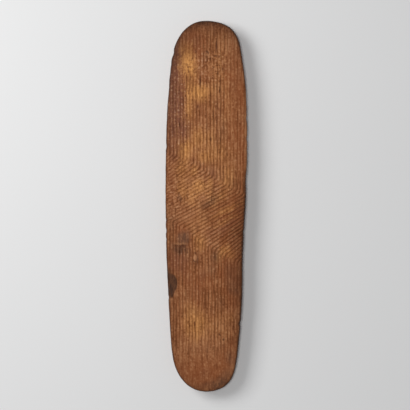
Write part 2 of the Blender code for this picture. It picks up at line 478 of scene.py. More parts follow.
def sheet_faces(rows: int, columns: int) -> np.ndarray:
    """Return the quads between the rows of an open grid.

    Args:
        rows: how many rows of points.
        columns: how many points to a row.

    Returns:
        An array of rows with 4 corners.
    """
    row, column = np.meshgrid(np.arange(rows - 1), np.arange(columns - 1), indexing="ij")
    here = row * columns + column
    return np.stack((here, here + 1, here + columns + 1, here + columns), axis=-1).reshape(-1, 4)


def closed_object(name: str, points: np.ndarray, faces: list[tuple[int, ...]],
                  marks: np.ndarray | None = None) -> bpy.types.Object:
    """Make an object from points and faces, with doubles merged and faces pointing out.

    Args:
        name: the object's name.
        points: an array of rows with X, Y and Z.
        faces: the corners of each face, by the rows of the points.
        marks: rows with the flutes' count at each point and the way along the flute. They go into a UV map,
            which cuts hand on. None is unfluted wood.

    Returns:
        The object, linked to the scene.
    """
    mesh = bpy.data.meshes.new(name)
    mesh.from_pydata(points.tolist(), [], faces)
    carried = np.tile((NOT_FLUTED, 0.0), (len(points), 1)) if marks is None else marks
    corners = np.empty(len(mesh.loops), dtype=np.int32)
    mesh.loops.foreach_get("vertex_index", corners)
    mesh.uv_layers.new(name=MARK_MAP).uv.foreach_set("vector", carried[corners].ravel())
    shape = bmesh.new()
    shape.from_mesh(mesh)
    bmesh.ops.remove_doubles(shape, verts=shape.verts, dist=SAME_PLACE)
    bmesh.ops.recalc_face_normals(shape, faces=shape.faces)
    shape.to_mesh(mesh)
    shape.free()
    made = bpy.data.objects.new(name, mesh)
    bpy.context.scene.collection.objects.link(made)
    return made


@dataclass
class Board:
    """The long board: its thickness, crown and bow, its rounded rim and its plain dressed back.

    The full height runs from the grip's sole to the face's middle.
    """

    outline: Outline
    full_height: float
    thickness: float = 0.024
    edge_thickness: float = 0.0105
    back_rise: float = 0.0035
    bow: float = 0.006
    rim_rounding: float = 0.0034
    carving_allowance: float = 0.001
    edge_points: int = 640
    face_rings: tuple[float, ...] = (0.0, 0.4, 0.75)
    rim_steps: int = 12
    back_rings: int = 20
    back_marks: BladeMarks = BladeMarks(23, 0.013, 0.034, 0.0007)
    back_marks_onset: float = 12.0
    rim_marks: BladeMarks = BladeMarks(29, 0.016, 0.022, 0.0004)

    @property
    def rise(self) -> float:
        """Height of the back's middle over the sole."""
        return self.full_height - self.thickness

    def back_height(self, x: np.ndarray, y: np.ndarray) -> np.ndarray:
        """Return the height of the back, a saddle: up by the square of X and down by the square of Y."""
        across, along = 2.0 * x / self.outline.width, 2.0 * y / self.outline.length
        return self.rise + self.back_rise * across**2 - self.bow * along**2

    def face_height(self, x: np.ndarray, y: np.ndarray) -> np.ndarray:
        """Return the height of the face before fluting.

        It stands over the back by the edge's thickness, and by the rest of the thickness times one less the
        square of X and one less the cube of Y, both as shares of the half width and the half length.

        Args:
            x: places across the board.
            y: places along it.

        Returns:
            The heights, of the same shape.
        """
        across, along = 2.0 * x / self.outline.width, np.abs(2.0 * y / self.outline.length)
        fullness = np.clip(1.0 - across**2, 0.0, 1.0) * np.clip(1.0 - along**3, 0.0, 1.0)
        crown = (self.thickness - self.edge_thickness) * fullness
        return self.back_height(x, y) + self.edge_thickness + crown

    def blank(self) -> bpy.types.Object:
        """Make the board with its rim and back finished, and wood left on its face for the flutes.

        Rings run from the face's middle line out to the rim, over it on half an ellipse, and back in to the
        middle. The rim and the back carry the blade's marks, which cut into the wood and fade to nothing at
        the middle line.

        Returns:
            The board as an object.
        """
        edge = self.outline.worn_points(self.edge_points)
        inner = edge - self.rim_rounding * outward(edge)
        reach = (self.outline.length - self.outline.width) / 2.0
        middle = np.clip(self.outline.points(len(edge))[:, 1], -reach, reach)
        spine = np.column_stack((np.zeros(len(edge)), middle))
        top = self.face_height(*inner.T) + self.carving_allowance
        bottom = self.back_height(*inner.T)
        rings = []
        for share in self.face_rings:
            ring = spine + share * (inner - spine)
            rings.append(np.column_stack((ring, self.face_height(*ring.T) + self.carving_allowance)))
        travelled = np.cumsum(np.linalg.norm(edge - np.roll(edge, 1, axis=0), axis=1))
        for angle in np.linspace(0.0, math.pi, self.rim_steps + 1):
            cut = self.rim_marks.depth_at(np.full(len(edge), angle * self.edge_thickness), travelled)
            ring = inner + math.sin(angle) * (edge - inner - cut[:, None] * outward(edge))
            height = (top + bottom) / 2.0 + math.cos(angle) * (top - bottom) / 2.0
            rings.append(np.column_stack((ring, height)))
        for share in np.linspace(1.0, 0.0, self.back_rings + 1)[1:]:
            ring = spine + share * (inner - spine)
            fade = smooth_step(share * (1.0 - share) * self.back_marks_onset)
            cut = self.back_marks.depth_at(*ring.T) * fade
            rings.append(np.column_stack((ring, self.back_height(*ring.T) + cut)))
        return closed_object("blank", np.concatenate(rings), tube_faces(len(rings), len(edge)).tolist())


@dataclass
class Flutes:
    """The flutes of the face: upright at head and foot, slanting in a band that fans out between them.

    A flute is known by its count, a whole number down across the band, and its groove lies where the count is
    whole. A noise whose width is 1 / n changes n times from one flute to the next.
    """

    board: Board
    pitch_head: float = 0.00668
    pitch_band: float = 0.00664
    pitch_foot: float = 0.0064
    head_fan: float = 0.035
    band_slant: float = math.radians(28.5)
    band_fan: float = 0.04
    band_fan_growth: float = 17.4
    first_count: float = -0.437
    head_bend_height: float = 0.0692
    foot_bend_height: float = -0.0765
    sharp_bend_length: float = 0.0016
    bend_length: float = 0.0075
    bend_easing_start: float = -0.25
    bend_easing_width: float = 0.7
    head_smooth_end: float = 0.004
    head_fade_length: float = 0.040
    foot_smooth_end: float = 0.040
    foot_fade_length: float = 0.090
    end_wander: Noise = Noise(42, 1 / 1.7, 1 / 3.0, 0.018)
    sway_across: Noise = Noise(31, 0.045, 0.045, 0.0006)
    sway_along: Noise = Noise(32, 0.045, 0.045, 0.0006)
    lines_per_flute: int = 8
    upright_rows: int = 148
    corner_rows: int = 5
    band_rows: int = 70
    height_steps: int = 6
    slope_reach: float = 0.0001
    depth: float = 0.0014
    groove_power: float = 3.0
    power_change: Noise = Noise(41, 1 / 0.73, 0.018, 1.3)
    groove_wander: Noise = Noise(40, 1 / 0.83, 0.022, 0.17)
    mean_strength: float = 0.92
    most_strength: float = 1.35
    strength_change: Noise = Noise(43, 1 / 0.61, 0.013, 0.62)
    ripple: Noise = Noise(51, 1 / 1.3, 0.0052, 0.5)
    ripple_depth: float = 0.0005
    ripple_on_ridge: float = 0.4
    chops: Noise = Noise(52, 1.0, 0.0055, 1.6)
    chop_depth: float = 0.00066
    chop_shift: float = 3.1
    chop_slant: float = 0.4
    chop_in_groove: float = 0.3
    least_chop: float = 0.22
    chop_reach: float = 1.6
    unevenness: Noise = Noise(53, 0.050, 0.090, 0.5)
    uneven_depth: float = 0.00035
    rim_roll: float = 0.0013
    rim_roll_length: float = 0.007
    furthest_roll: float = 2.0
    margin: float = 0.012
    sunken: Wear = Wear(*DARK_PLACE, 0.0007, outer_radius=1.12, fade=0.16)
    sunken_border: Noise = Noise(54, 0.005, 0.006, 0.10)
    worn_border: Noise = Noise(44, 0.006, 0.010, 0.16)
    worn: tuple[Wear, ...] = (
        Wear(*DARK_PLACE, 0.97), Wear(-4, 286, 42, 30, 0.50), Wear(-56, 286, 20, 42, 0.45),
        Wear(56, 270, 20, 90, 0.60), Wear(-72, 35, 13, 70, 0.45), Wear(-45, -60, 14, 15, 0.75),
        Wear(62, 145, 23, 100, 0.65), Wear(-26, -15, 16, 42, -0.30, lean=61),
        Wear(-40, 320, 30, 30, 0.40), Wear(56, -190, 24, 100, 0.40), Wear(-42, 280, 18, 26, 0.22),
        Wear(-66, 200, 16, 80, 0.15), Wear(-15, -205, 45, 95, 0.14),
    )
    choppy: tuple[Oval, ...] = (
        Oval(-70, 10, 21, 60), Oval(-60, 215, 26, 90), Oval(1, 280, 40, 36), Oval(-20, 30, 40, 22),
    )
    dents: tuple[Dent, ...] = (
        Dent(1.4, 309, 3, 2.4, 0.7), Dent(4, 306, 1.2, 3, 0.4), Dent(8.4, 295.5, 1, 3.4, 0.5, lean=-25),
        Dent(19.4, 300.5, 3, 1.1), Dent(25.4, 298.5, 1.4, 2.2, 0.7),
        Dent(20, 321.5, 1.3, 14, 0.4, dirt=1.2), Dent(-20.6, 309, 1.1, 4.8, 0.5),
        Dent(32.4, 273.5, 1.2, 3.6), Dent(23.4, 265.5, 1.3, 3.6), Dent(14.4, 277.5, 1.1, 3, 0.5, lean=30),
        Dent(-12, 249, 1.5, 14, 0.8, dirt=1.1), Dent(27, 232, 1.4, 6), Dent(9.5, 133.5, 1.3, 5.2, 0.8),
        Dent(28.5, 131.5, 1.2, 6, 0.5, dirt=0.6), Dent(14.5, 183, 1.1, 12, 0.4, dirt=0.6),
        Dent(42, 103, 1, 5, 0.4, dirt=0.6), Dent(-17, 199, 1.4, 4), Dent(-53, 162, 1.4, 6, 0.5),
        Dent(-22.2, -101.5, 2.8, 6.6, dirt=-0.8), Dent(-18.2, -107, 1.3, 12, dirt=1.1),
        Dent(-22, -93.4, 2.8, 1.6, 0.4, dirt=1.1), Dent(-25.4, -107.6, 1.4, 2.6, 0.5, dirt=1.3),
        Dent(-22.8, -109.2, 2.6, 1.7, dirt=1.4), Dent(-51.5, -77.9, 14, 1.8, 0.5, dirt=1.3),
        Dent(-50.6, -82, 1.5, 5, 0.5, dirt=1.1), Dent(-44.6, -80.6, 1.4, 3.2, 0.4),
        Dent(-53.6, -91, 2.4, 3.8, 0.4, dirt=0.8), Dent(34.5, -266.5, 2.2, 2.4, 2, dirt=1.3),
        Dent(27, -257, 1.2, 3.4, 0.4, lean=-35), Dent(31, -261, 1.2, 3, 0.4, dirt=-0.5, lean=-35),
        Dent(-46.5, -149, 1.2, 4, 0.4, dirt=0.5), Dent(-67, -179, 0.9, 4.6, 0.8, dirt=1.2),
        Dent(6, -370, 1.4, 3, 0.4),
    )

    def band_count(self, x: np.ndarray, y: np.ndarray) -> np.ndarray:
        """Return how many flutes lie before a place of the band, counted down across it.

        The count is the distance across the band, plus the distance along it times a fan that grows by the
        square of the distance across, all divided by the pitch. At the board's middle it is the first count.

        Args:
            x: places across the board.
            y: places along it.

        Returns:
            The counts, of the same shape.
        """
        across = x * math.sin(self.band_slant) - y * math.cos(self.band_slant)
        along = x * math.cos(self.band_slant) + y * math.sin(self.band_slant)
        fanned = across + along * (self.band_fan * across + self.band_fan_growth * across**2)
        return self.first_count + fanned / self.pitch_band

    def band_height(self, count: np.ndarray, x: np.ndarray) -> np.ndarray:
        """Return the Y of slanting flutes, by repeated steps along the slope of the count.

        Args:
            count: the flutes' counts.
            x: where each is looked up, of a shape that goes with the counts.

        Returns:
            The heights, of the same shape.
        """
        reach = self.slope_reach
        down = (count - self.first_count) * self.pitch_band
        y = (x * math.sin(self.band_slant) - down) / math.cos(self.band_slant)
        for _ in range(self.height_steps):
            slope = (self.band_count(x, y + reach) - self.band_count(x, y - reach)) / (2.0 * reach)
            y = y - (self.band_count(x, y) - count) / slope
        return y

    def bend_reach(self, x: np.ndarray) -> np.ndarray:
        """Return how much of a flute its bend takes on either side: sharp on the left, round on the right.

        Args:
            x: where the flutes bend.

        Returns:
            The lengths, of the same shape.
        """
        width = self.board.outline.width
        share = smooth_step((x - self.bend_easing_start * width) / (self.bend_easing_width * width))
        return self.sharp_bend_length + share * (self.bend_length - self.sharp_bend_length)

    def lines(self, count: np.ndarray) -> np.ndarray:
        """Return the lines along the flutes of the given counts, head to foot.

        A line runs straight down from the head, turns on a quadratic curve into the band, crosses it, and
        turns again towards the foot. The whole field then sways a little by smooth noise, as flutes cut by
        eye do.

        Args:
            count: the count of each line.

        Returns:
            An array of rows by lines by 2, with X and Y.
        """
        head_x = (count - self.band_count(0.0, self.head_bend_height)) * self.pitch_head
        foot_x = (count - self.band_count(0.0, self.foot_bend_height)) * self.pitch_foot
        head_bend = np.column_stack((head_x, self.band_height(count, head_x)))
        foot_bend = np.column_stack((foot_x, self.band_height(count, foot_x)))
        end = self.board.outline.length / 2.0 + self.margin
        head_end = np.column_stack((head_x * (1.0 + self.head_fan), np.full_like(head_x, end)))
        foot_end = np.column_stack((foot_x, np.full_like(foot_x, -end)))
        head_turn, foot_turn = self.bend_reach(head_x), self.bend_reach(foot_x)
        above_band = head_bend + np.column_stack((np.zeros_like(head_turn), head_turn))
        below_band = foot_bend - np.column_stack((np.zeros_like(foot_turn), foot_turn))
        band_start = head_x - head_turn * math.cos(self.band_slant)
        band_stop = foot_x + foot_turn * math.cos(self.band_slant)
        band_x = band_start + np.linspace(0.0, 1.0, self.band_rows)[:, None] * (band_stop - band_start)
        band = np.stack((band_x, self.band_height(count, band_x)), axis=-1)
        upright = np.linspace(0.0, 1.0, self.upright_rows)[:, None, None]
        turning = (np.arange(1, self.corner_rows + 1) / (self.corner_rows + 1))[:, None, None]
        head_run = head_end + upright * (above_band - head_end)
        foot_run = below_band + upright * (foot_end - below_band)
        weights = (1.0 - turning) ** 2, 2.0 * turning * (1.0 - turning), turning**2
        head_corner = weights[0] * above_band + weights[1] * head_bend + weights[2] * band[0]
        foot_corner = weights[0] * band[-1] + weights[1] * foot_bend + weights[2] * below_band
        path = np.concatenate((head_run, head_corner, band, foot_corner, foot_run))
        place = path[..., 0], path[..., 1]
        return path + np.stack((self.sway_across.layered(*place), self.sway_along.layered(*place)), axis=-1)

    def runs(self, path: np.ndarray) -> np.ndarray:
        """Return how far each point of the lines lies from the head end, measured along its line."""
        steps = np.linalg.norm(np.diff(path, axis=0), axis=2)
        return np.concatenate((np.zeros((1, path.shape[1])), np.cumsum(steps, axis=0)))

    def groove_at(self, count: np.ndarray, run: np.ndarray) -> np.ndarray:
        """Return how far into its groove a place is, from 0 on the ridge to 1 along the groove's bottom.

        It is half of one plus the cosine of the count's turn, raised to a power. The power and the groove's
        middle change from flute to flute and along each, so that grooves widen, narrow and wander.

        Args:
            count: the places' counts.
            run: their way along the flute.

        Returns:
            The shares, of the same shape.
        """
        flute = np.round(count)
        wander = self.groove_wander.layered(flute, run)
        power = self.groove_power + self.power_change.at(flute, run)
        return (0.5 + 0.5 * np.cos(2.0 * math.pi * (count - flute - wander))) ** power

    def strength_at(self, count: np.ndarray, run: np.ndarray, x: np.ndarray, y: np.ndarray) -> np.ndarray:
        """Return how deep the flutes are cut, as a share: faded to the smooth ends and less where worn.

        Args:
            count: the places' counts.
            run: their way along the flute.
            x: the places across the board.
            y: the places along it.

        Returns:
            The shares, of the same shape.
        """
        flute = np.round(count)
        start = self.board.outline.length / 2.0 + self.end_wander.at(flute, np.sign(y))
        head = smooth_step((start - self.head_smooth_end - y) / self.head_fade_length)
        foot = smooth_step((start - self.foot_smooth_end + y) / self.foot_fade_length)
        strength = head * foot * (self.mean_strength + self.strength_change.layered(flute, run))
        push = self.worn_border.layered(x, y)
        for place in self.worn:
            strength = strength * (1.0 - place.loss_at(x, y, push))
        return np.clip(strength, 0.0, self.most_strength)

    def chop_at(self, x: np.ndarray, y: np.ndarray) -> np.ndarray:
        """Return how roughly the wood is chopped.

        Args:
            x: places across the board.
            y: places along it.

        Returns:
            Shares, from a low one everywhere up to 1 in the choppy areas.
        """
        rough = np.full(np.shape(x), self.least_chop)
        for oval in self.choppy:
            rough = np.maximum(rough, smooth_step(self.chop_reach - oval.radius_at(x, y)))
        return rough

    def depth_at(self, count: np.ndarray, run: np.ndarray, x: np.ndarray, y: np.ndarray) -> np.ndarray:
        """Return how far the carved surface lies below the smooth face.

        It is the groove's depth, the ripple that the tool leaves along it, chopped ridge tops, a slow
        unevenness, the dents, and the sunken place on the left edge.

        Args:
            count: the places' counts.
            run: their way along the flute.
            x: the places across the board.
            y: the places along it.

        Returns:
            The depths, of the same shape.
        """
        groove = self.groove_at(count, run)
        ripple = self.ripple.layered(count, run) + 0.5
        chopped = np.floor(count) * self.chop_shift + self.chop_slant * count
        chop = np.clip(self.chops.layered(chopped, run), 0.0, 1.0)
        in_ripple = self.ripple_on_ridge + (1.0 - self.ripple_on_ridge) * groove
        in_chops = 1.0 - (1.0 - self.chop_in_groove) * groove
        depth = self.depth * groove * self.strength_at(count, run, x, y)
        depth = depth + self.ripple_depth * ripple * in_ripple
        depth = depth + self.chop_depth * self.chop_at(x, y) * chop * in_chops
        depth = depth + self.uneven_depth * (0.5 + self.unevenness.layered(x, y))
        for dent in self.dents:
            depth = depth + dent.depth_at(x, y)
        return depth + self.sunken.loss_at(x, y, self.sunken_border.layered(x, y))

    def dirt_at(self, x: np.ndarray, y: np.ndarray) -> np.ndarray:
        """Return the dirt held in the dents, and less than none where a dent lays bare clean wood.

        Args:
            x: places across the board.
            y: places along it.

        Returns:
            The strengths of the dirt, summed over the dents.
        """
        dirt = np.zeros(np.shape(x))
        for dent in self.dents:
            dirt = dirt + dent.dirt_at(x, y)
        return dirt

    def cutter(self) -> bpy.types.Object:
        """Make the wood that the carver takes off the face, a block whose underside is the carved surface.

        The underside follows the flutes' lines. Towards the rim it rolls down by the square of the distance,
        so that the face runs over into the rounded rim. The lines' marks go into the block's UV map, which
        the cut hands on.

        Returns:
            The block as an object.
        """
        outline = self.board.outline
        reach = outline.width / 2.0 + self.margin
        first = math.floor(self.band_count(0.0, self.head_bend_height) - reach / self.pitch_head)
        last = math.ceil(self.band_count(0.0, self.foot_bend_height) + reach / self.pitch_foot)
        count = np.linspace(first, last, (last - first) * self.lines_per_flute + 1)
        path = self.lines(count)
        x, y = path[..., 0], path[..., 1]
        counts, runs = np.broadcast_to(count, x.shape), self.runs(path)
        near = np.clip(1.0 - outline.margin(x, y) / self.rim_roll_length, 0.0, self.furthest_roll)
        surface = self.board.face_height(np.clip(x, -reach, reach), y) - self.depth_at(counts, runs, x, y)
        below = np.dstack((x, y, surface - self.rim_roll * near**2)).reshape(-1, 3)
        rows, columns = x.shape
        border = np.concatenate((np.arange(columns), np.arange(1, rows) * columns + columns - 1,
                                 (rows - 1) * columns + np.arange(columns - 2, -1, -1),
                                 np.arange(rows - 2, 0, -1) * columns))
        lid_height = self.board.full_height + self.margin
        above = np.column_stack((below[border, :2], np.full(len(border), lid_height)))
        lid = len(below) + np.arange(len(border))
        walls = np.column_stack((border, lid, np.roll(lid, -1), np.roll(border, -1)))
        faces = sheet_faces(rows, columns).tolist() + walls.tolist() + [tuple(lid.tolist())]
        plain = np.tile((NOT_FLUTED, 0.0), (len(border), 1))
        marks = np.concatenate((np.dstack((counts, runs)).reshape(-1, 2), plain))
        return closed_object("flute_block", np.concatenate((below, above)), faces, marks)


@dataclass
class Grip:
    """The grip on the back: a bar with a flat sole, ends that ramp up into the board, and a finger hollow."""

    depth: float
    width: float = 0.030
    root_spread: float = 0.004
    end_spread: float = 0.006
    sole_edge_width: float = 0.004
    sole_edge_height: float = 0.006
    sole_margin: float = 0.004
    ramp_length: float = 0.043
    bar_thickness: float = 0.013
    hollow_length: float = 0.092
    hollow_side_reach: float = 0.025
    hollow_scoop: float = 0.006
    hollow_fullness: float = 3.0
    bite: float = 0.005
    stations: int = 96
    side_points: int = 14
    corner_points: int = 7
    hollow_levels: int = 44
    hollow_points: int = 96
    marks: BladeMarks = BladeMarks(37, 0.011, 0.020, 0.0006)

    @property
    def sole_reach(self) -> float:
        """Half the length of the flat sole."""
        return self.hollow_length / 2.0 + self.sole_margin

    def bar(self) -> bpy.types.Object:
        """Make the grip's bar, sunk a little into the board.

        Its section is carried along Y. Half of a section runs from the sole over a quarter ellipse and up the
        side, which spreads by the square of its height. The section's foot climbs into the board past the
        sole's ends on an eased step, and shallow blade marks cut into the sides.

        Returns:
            The bar as an object.
        """
        reach = self.sole_reach + self.ramp_length
        y = np.linspace(-reach, reach, self.stations)[:, None]
        climb = smooth_step((np.abs(y) - self.sole_reach) / self.ramp_length)
        sole = (self.depth + self.bite / 2.0) * climb
        top = self.depth + self.bite
        edge_height = np.minimum(self.sole_edge_height, (top - sole) / 2.0)
        turn = np.linspace(0.0, math.pi / 2.0, self.corner_points)
        corner_x = self.width / 2.0 - self.sole_edge_width * (1.0 - np.sin(turn)) + 0.0 * y
        corner_z = sole + edge_height * (1.0 - np.cos(turn))
        share = np.linspace(0.0, 1.0, self.side_points)[1:]
        side_z = sole + edge_height + share * (top - sole - edge_height)
        cut = self.marks.depth_at(side_z, y + 0.0 * side_z) * (1.0 - climb) * np.sin(math.pi * share)
        side_x = self.width / 2.0 + (self.root_spread + self.end_spread * climb) * share**2 - cut
        half = np.stack((np.concatenate((corner_x, side_x), axis=1),
                         np.concatenate((corner_z, side_z), axis=1)), axis=-1)
        whole = np.concatenate((half, half[:, ::-1] * (-1.0, 1.0)), axis=1)
        around = whole.shape[1]
        points = np.dstack((whole[..., 0], np.broadcast_to(y, whole.shape[:2]), whole[..., 1])).reshape(-1, 3)
        ends = [tuple(range(around)), tuple(range(len(points) - around, len(points)))]
        return closed_object("grip_bar", points, tube_faces(self.stations, around).tolist() + ends)

    def hollow(self) -> bpy.types.Object:
        """Make the finger hollow's cutter, deep through the grip and shallow in the board.

        It is a boxy ellipsoid: the powers of the cosines and sines of its two angles are 2 divided by its
        fullness.

        Returns:
            The cutter as an object.
        """
        power = 2.0 / self.hollow_fullness
        tilt = np.linspace(-math.pi / 2.0, math.pi / 2.0, self.hollow_levels + 1)[:, None]
        turn = 2.0 * math.pi * (np.arange(self.hollow_points) + 0.5) / self.hollow_points
        drop = np.where(tilt < 0.0, self.depth - self.bar_thickness, self.hollow_scoop)
        size = np.abs(np.cos(tilt)) ** power
        size[[0, -1]] = 0.0
        round_part = (np.cos(turn), np.sin(turn))
        across, along = (np.sign(part) * np.abs(part) ** power * size for part in round_part)
        x = across * (self.width / 2.0 + self.hollow_side_reach)
        y = along * self.hollow_length / 2.0
        z = self.depth + np.sign(tilt) * np.abs(np.sin(tilt)) ** power * drop + 0.0 * x
        points = np.dstack((x, y, z)).reshape(-1, 3)
        faces = tube_faces(self.hollow_levels + 1, self.hollow_points).tolist()
        return closed_object("finger_hollow", points, faces)


@dataclass
class Patina:
    """Where the face has other colours: bare sapwood, old stains, the black place, and rim grime with painted
    shade.
    """

    wander_across: Noise = Noise(61, 0.012, 0.022, 0.0035)
    wander_along: Noise = Noise(62, 0.009, 0.030, 0.0070)
    steady: frozenset[Stain] = frozenset((Stain.BLACK, Stain.PALE))
    steady_wander: float = 0.35
    rim_border: Noise = Noise(63, 0.016, 0.026, 0.45)
    side_blend: float = 0.040
    # The rim's grime and painted shade, given at places along each side: Y, strength and reach.
    rim_shades: tuple[RimShade, ...] = (
        RimShade(Side.LEFT, 372, 1.00, 28), RimShade(Side.LEFT, 345, 0.86, 19),
        RimShade(Side.LEFT, 310, 1.00, 25), RimShade(Side.LEFT, 250, 0.50, 28),
        RimShade(Side.LEFT, 80, 0.38, 16), RimShade(Side.LEFT, 18, 0.28, 18),
        RimShade(Side.LEFT, -26, 0.54, 20), RimShade(Side.LEFT, -60, 0.38, 25),
        RimShade(Side.LEFT, -125, 0.57, 20), RimShade(Side.LEFT, -200, 0.36, 20),
        RimShade(Side.LEFT, -372, 0.48, 25), RimShade(Side.RIGHT, 372, 1.00, 35),
        RimShade(Side.RIGHT, 340, 0.64, 34), RimShade(Side.RIGHT, 310, 0.42, 36),
        RimShade(Side.RIGHT, 240, 0.06, 16), RimShade(Side.RIGHT, 140, 0.03, 8),
        RimShade(Side.RIGHT, 80, 0.05, 8), RimShade(Side.RIGHT, 30, 0.45, 10),
        RimShade(Side.RIGHT, -15, 0.72, 16), RimShade(Side.RIGHT, -60, 0.76, 16),
        RimShade(Side.RIGHT, -200, 0.66, 16), RimShade(Side.RIGHT, -372, 0.38, 22),
    )
    gold: tuple[Patch, ...] = (
        Patch(-41, 286, 16, 28, 0.92), Patch(-43, 277, 12, 15, 0.95), Patch(-45, 280, 8, 10, 0.70),
        Patch(-43.6, 270, 10, 9, 0.95), Patch(-23.6, 259, 8, 7, 0.40), Patch(-40, 308, 10, 13, 0.40),
        Patch(-13.6, -70, 10, 12, 0.38), Patch(-50, 80, 10, 12, 0.32), Patch(-18, 138, 12, 17, 0.38),
        Patch(-5, 98, 12, 10, 0.30), Patch(-17, 229, 20, 15, 0.72), Patch(-37, 200, 8, 36, 0.45),
        Patch(-43, 112, 12, 16, 0.62), Patch(28, 230, 18, 90, 0.15), Patch(15, 106, 28, 16, 0.22),
        Patch(-36, 34, 12, 42, 0.20, lean=-28), Patch(-15, 40, 11, 10, 0.52, lean=60),
        Patch(-22, 24, 9, 20, 0.22, lean=60), Patch(8, 45, 6, 11, 0.35),
        Patch(8, 20, 18, 9, 0.24, lean=60), Patch(42, 57, 14, 20, 0.30), Patch(-25.6, 69, 8, 9, 0.30),
        Patch(30.4, 19.5, 8, 8, 0.28), Patch(48.4, -96.5, 7, 10, 0.30), Patch(51, -222, 6, 7, 0.15),
        Patch(6.4, 135.5, 8, 12, 0.20), Patch(45, -4, 5, 24, 0.45, lean=61),
        Patch(40, -30, 5, 22, 0.40, lean=61), Patch(-18, -40, 13, 22, 0.12, lean=50),
        Patch(34, -93, 8, 14, 0.40, lean=40), Patch(-27, -230, 16, 28, 0.40),
        Patch(-8, -240, 17, 22, 0.26), Patch(31, -238, 13, 20, 0.12), Patch(-50, 29, 8, 8, 0.25),
    )
    purple: tuple[Patch, ...] = (
        Patch(-64, 205, 18, 80, 0.95), Patch(-68, 290, 13, 40, 0.95), Patch(-44, 156, 11, 20, 0.62),
        Patch(25, 190, 9, 50, 0.30), Patch(16, 62, 12, 10, 0.35), Patch(30, -45, 10, 40, 0.35, lean=61),
        Patch(-56, -104, 16, 26, 0.55),
    )
    red: tuple[Patch, ...] = (
        Patch(-25, 256, 34, 7, 0.55), Patch(-42, 326, 20, 28, 0.42),
        Patch(-19, 324, 15, 19, hardness=0.2), Patch(-55, 242, 13, 21, 0.75),
        Patch(-72, 50, 11, 45, 0.35), Patch(-17.6, -172, 9, 20), Patch(-6, -139, 11, 14),
        Patch(14.4, -126, 9, 11, 0.40), Patch(38.4, 209.5, 9, 14, 0.40), Patch(-35.6, -140, 8, 12),
        Patch(-41.6, -102.5, 7, 12, 0.40), Patch(56.4, 57.5, 8, 10, 0.35), Patch(46, 260, 12, 30, 0.90),
        Patch(-60, 289, 9, 28, 0.90), Patch(-56, 249, 9, 13, 0.75), Patch(-45.6, 241.5, 6, 8, 0.50),
        Patch(-53.6, -46.5, 9, 12, 0.80), Patch(68, 140, 8, 20, 0.50), Patch(-35.6, 165, 7, 15, 0.30),
        Patch(54, -138, 22, 32, 0.60), Patch(50, 150, 13, 40, 0.35), Patch(58, 138, 10, 24, 0.50),
        Patch(4.4, -154.5, 8, 12, 0.50), Patch(-15.6, 293.5, 7, 9, 0.30), Patch(-45.6, -108, 9, 14, 0.35),
        Patch(38.4, -128, 11, 15, 0.75), Patch(64, 5, 12, 20, 0.80), Patch(56, 305, 16, 24, 0.25),
        Patch(70, 245, 14, 50, 0.65), Patch(72, 90, 10, 70, 0.45), Patch(56, -42, 28, 50, 0.65),
        Patch(54, -153, 16, 38, 0.85), Patch(-69, -115, 10, 24, 0.55), Patch(47, -298, 18, 24, 0.80),
        Patch(-50, -330, 12, 14, 0.75), Patch(-4, -342, 60, 27, 0.78),
        Patch(-43, -61, 12, 15, hardness=0.2),
    )
    grey: tuple[Patch, ...] = (
        Patch(60, -142, 13, 36, 0.30), Patch(45, -140, 9, 24, 0.30), Patch(6, 8, 20, 6, 0.58, lean=-28),
        Patch(15, 19, 5, 8, 0.40), Patch(-44.5, -63.5, 11.5, 12, hardness=0.4),
        Patch(-51, -85.5, 15, 8.5, 0.90, hardness=0.3), Patch(-53, 17, 5, 5, 0.60, hardness=0.2),
        Patch(18, -98, 8, 12, 0.65), Patch(10.4, -127, 8, 10, 0.38), Patch(35, 150, 6, 20, 0.25),
        Patch(42, -347, 19, 15, 0.50), Patch(46.4, -302, 7, 12, 0.55), Patch(-7.6, -137.5, 8, 10, 0.35),
        Patch(-3.6, -18.5, 7, 8, 0.25), Patch(66.4, -168.5, 7, 12, 0.25),
        Patch(-41.6, -102.5, 7, 9, 0.28), Patch(-48, -67, 7, 7, 0.60), Patch(24.4, 241.5, 7, 9, 0.18),
        Patch(-27.6, -208.5, 8, 11, 0.18), Patch(-1.6, -336.5, 9, 10, 0.25),
        Patch(72.4, 181.5, 7, 14, 0.22), Patch(68.4, -130.5, 7, 14, 0.22), Patch(54.5, 47.5, 8, 18, 0.20),
        Patch(-17.6, -170.5, 8, 12, 0.20), Patch(68.4, 261.5, 7, 14, 0.22),
        Patch(50.4, -158.5, 8, 12, 0.22), Patch(40.4, -126.5, 7, 10, 0.22),
        Patch(-35.6, -138.5, 7, 10, 0.20), Patch(14.4, -124.5, 7, 8, 0.18),
        Patch(26.4, -194.5, 7, 12, 0.22), Patch(42.4, 281.5, 8, 11, 0.22),
        Patch(-33.6, -52.5, 7, 8, 0.25), Patch(-37.6, 157.5, 7, 10, 0.22),
        Patch(-19.6, 325.5, 8, 12, 0.30), Patch(0.4, 372, 22, 7, 0.50), Patch(0.4, 303.5, 7, 9, 0.25),
        Patch(66, 5, 8, 16, 0.28), Patch(52.4, -160.5, 8, 12, 0.28), Patch(56.4, -62.5, 10, 16, 0.25),
        Patch(52.4, 241.5, 8, 12, 0.22), Patch(20, -362, 40, 8, 0.50), Patch(28, -355, 15, 10, 0.85),
    )
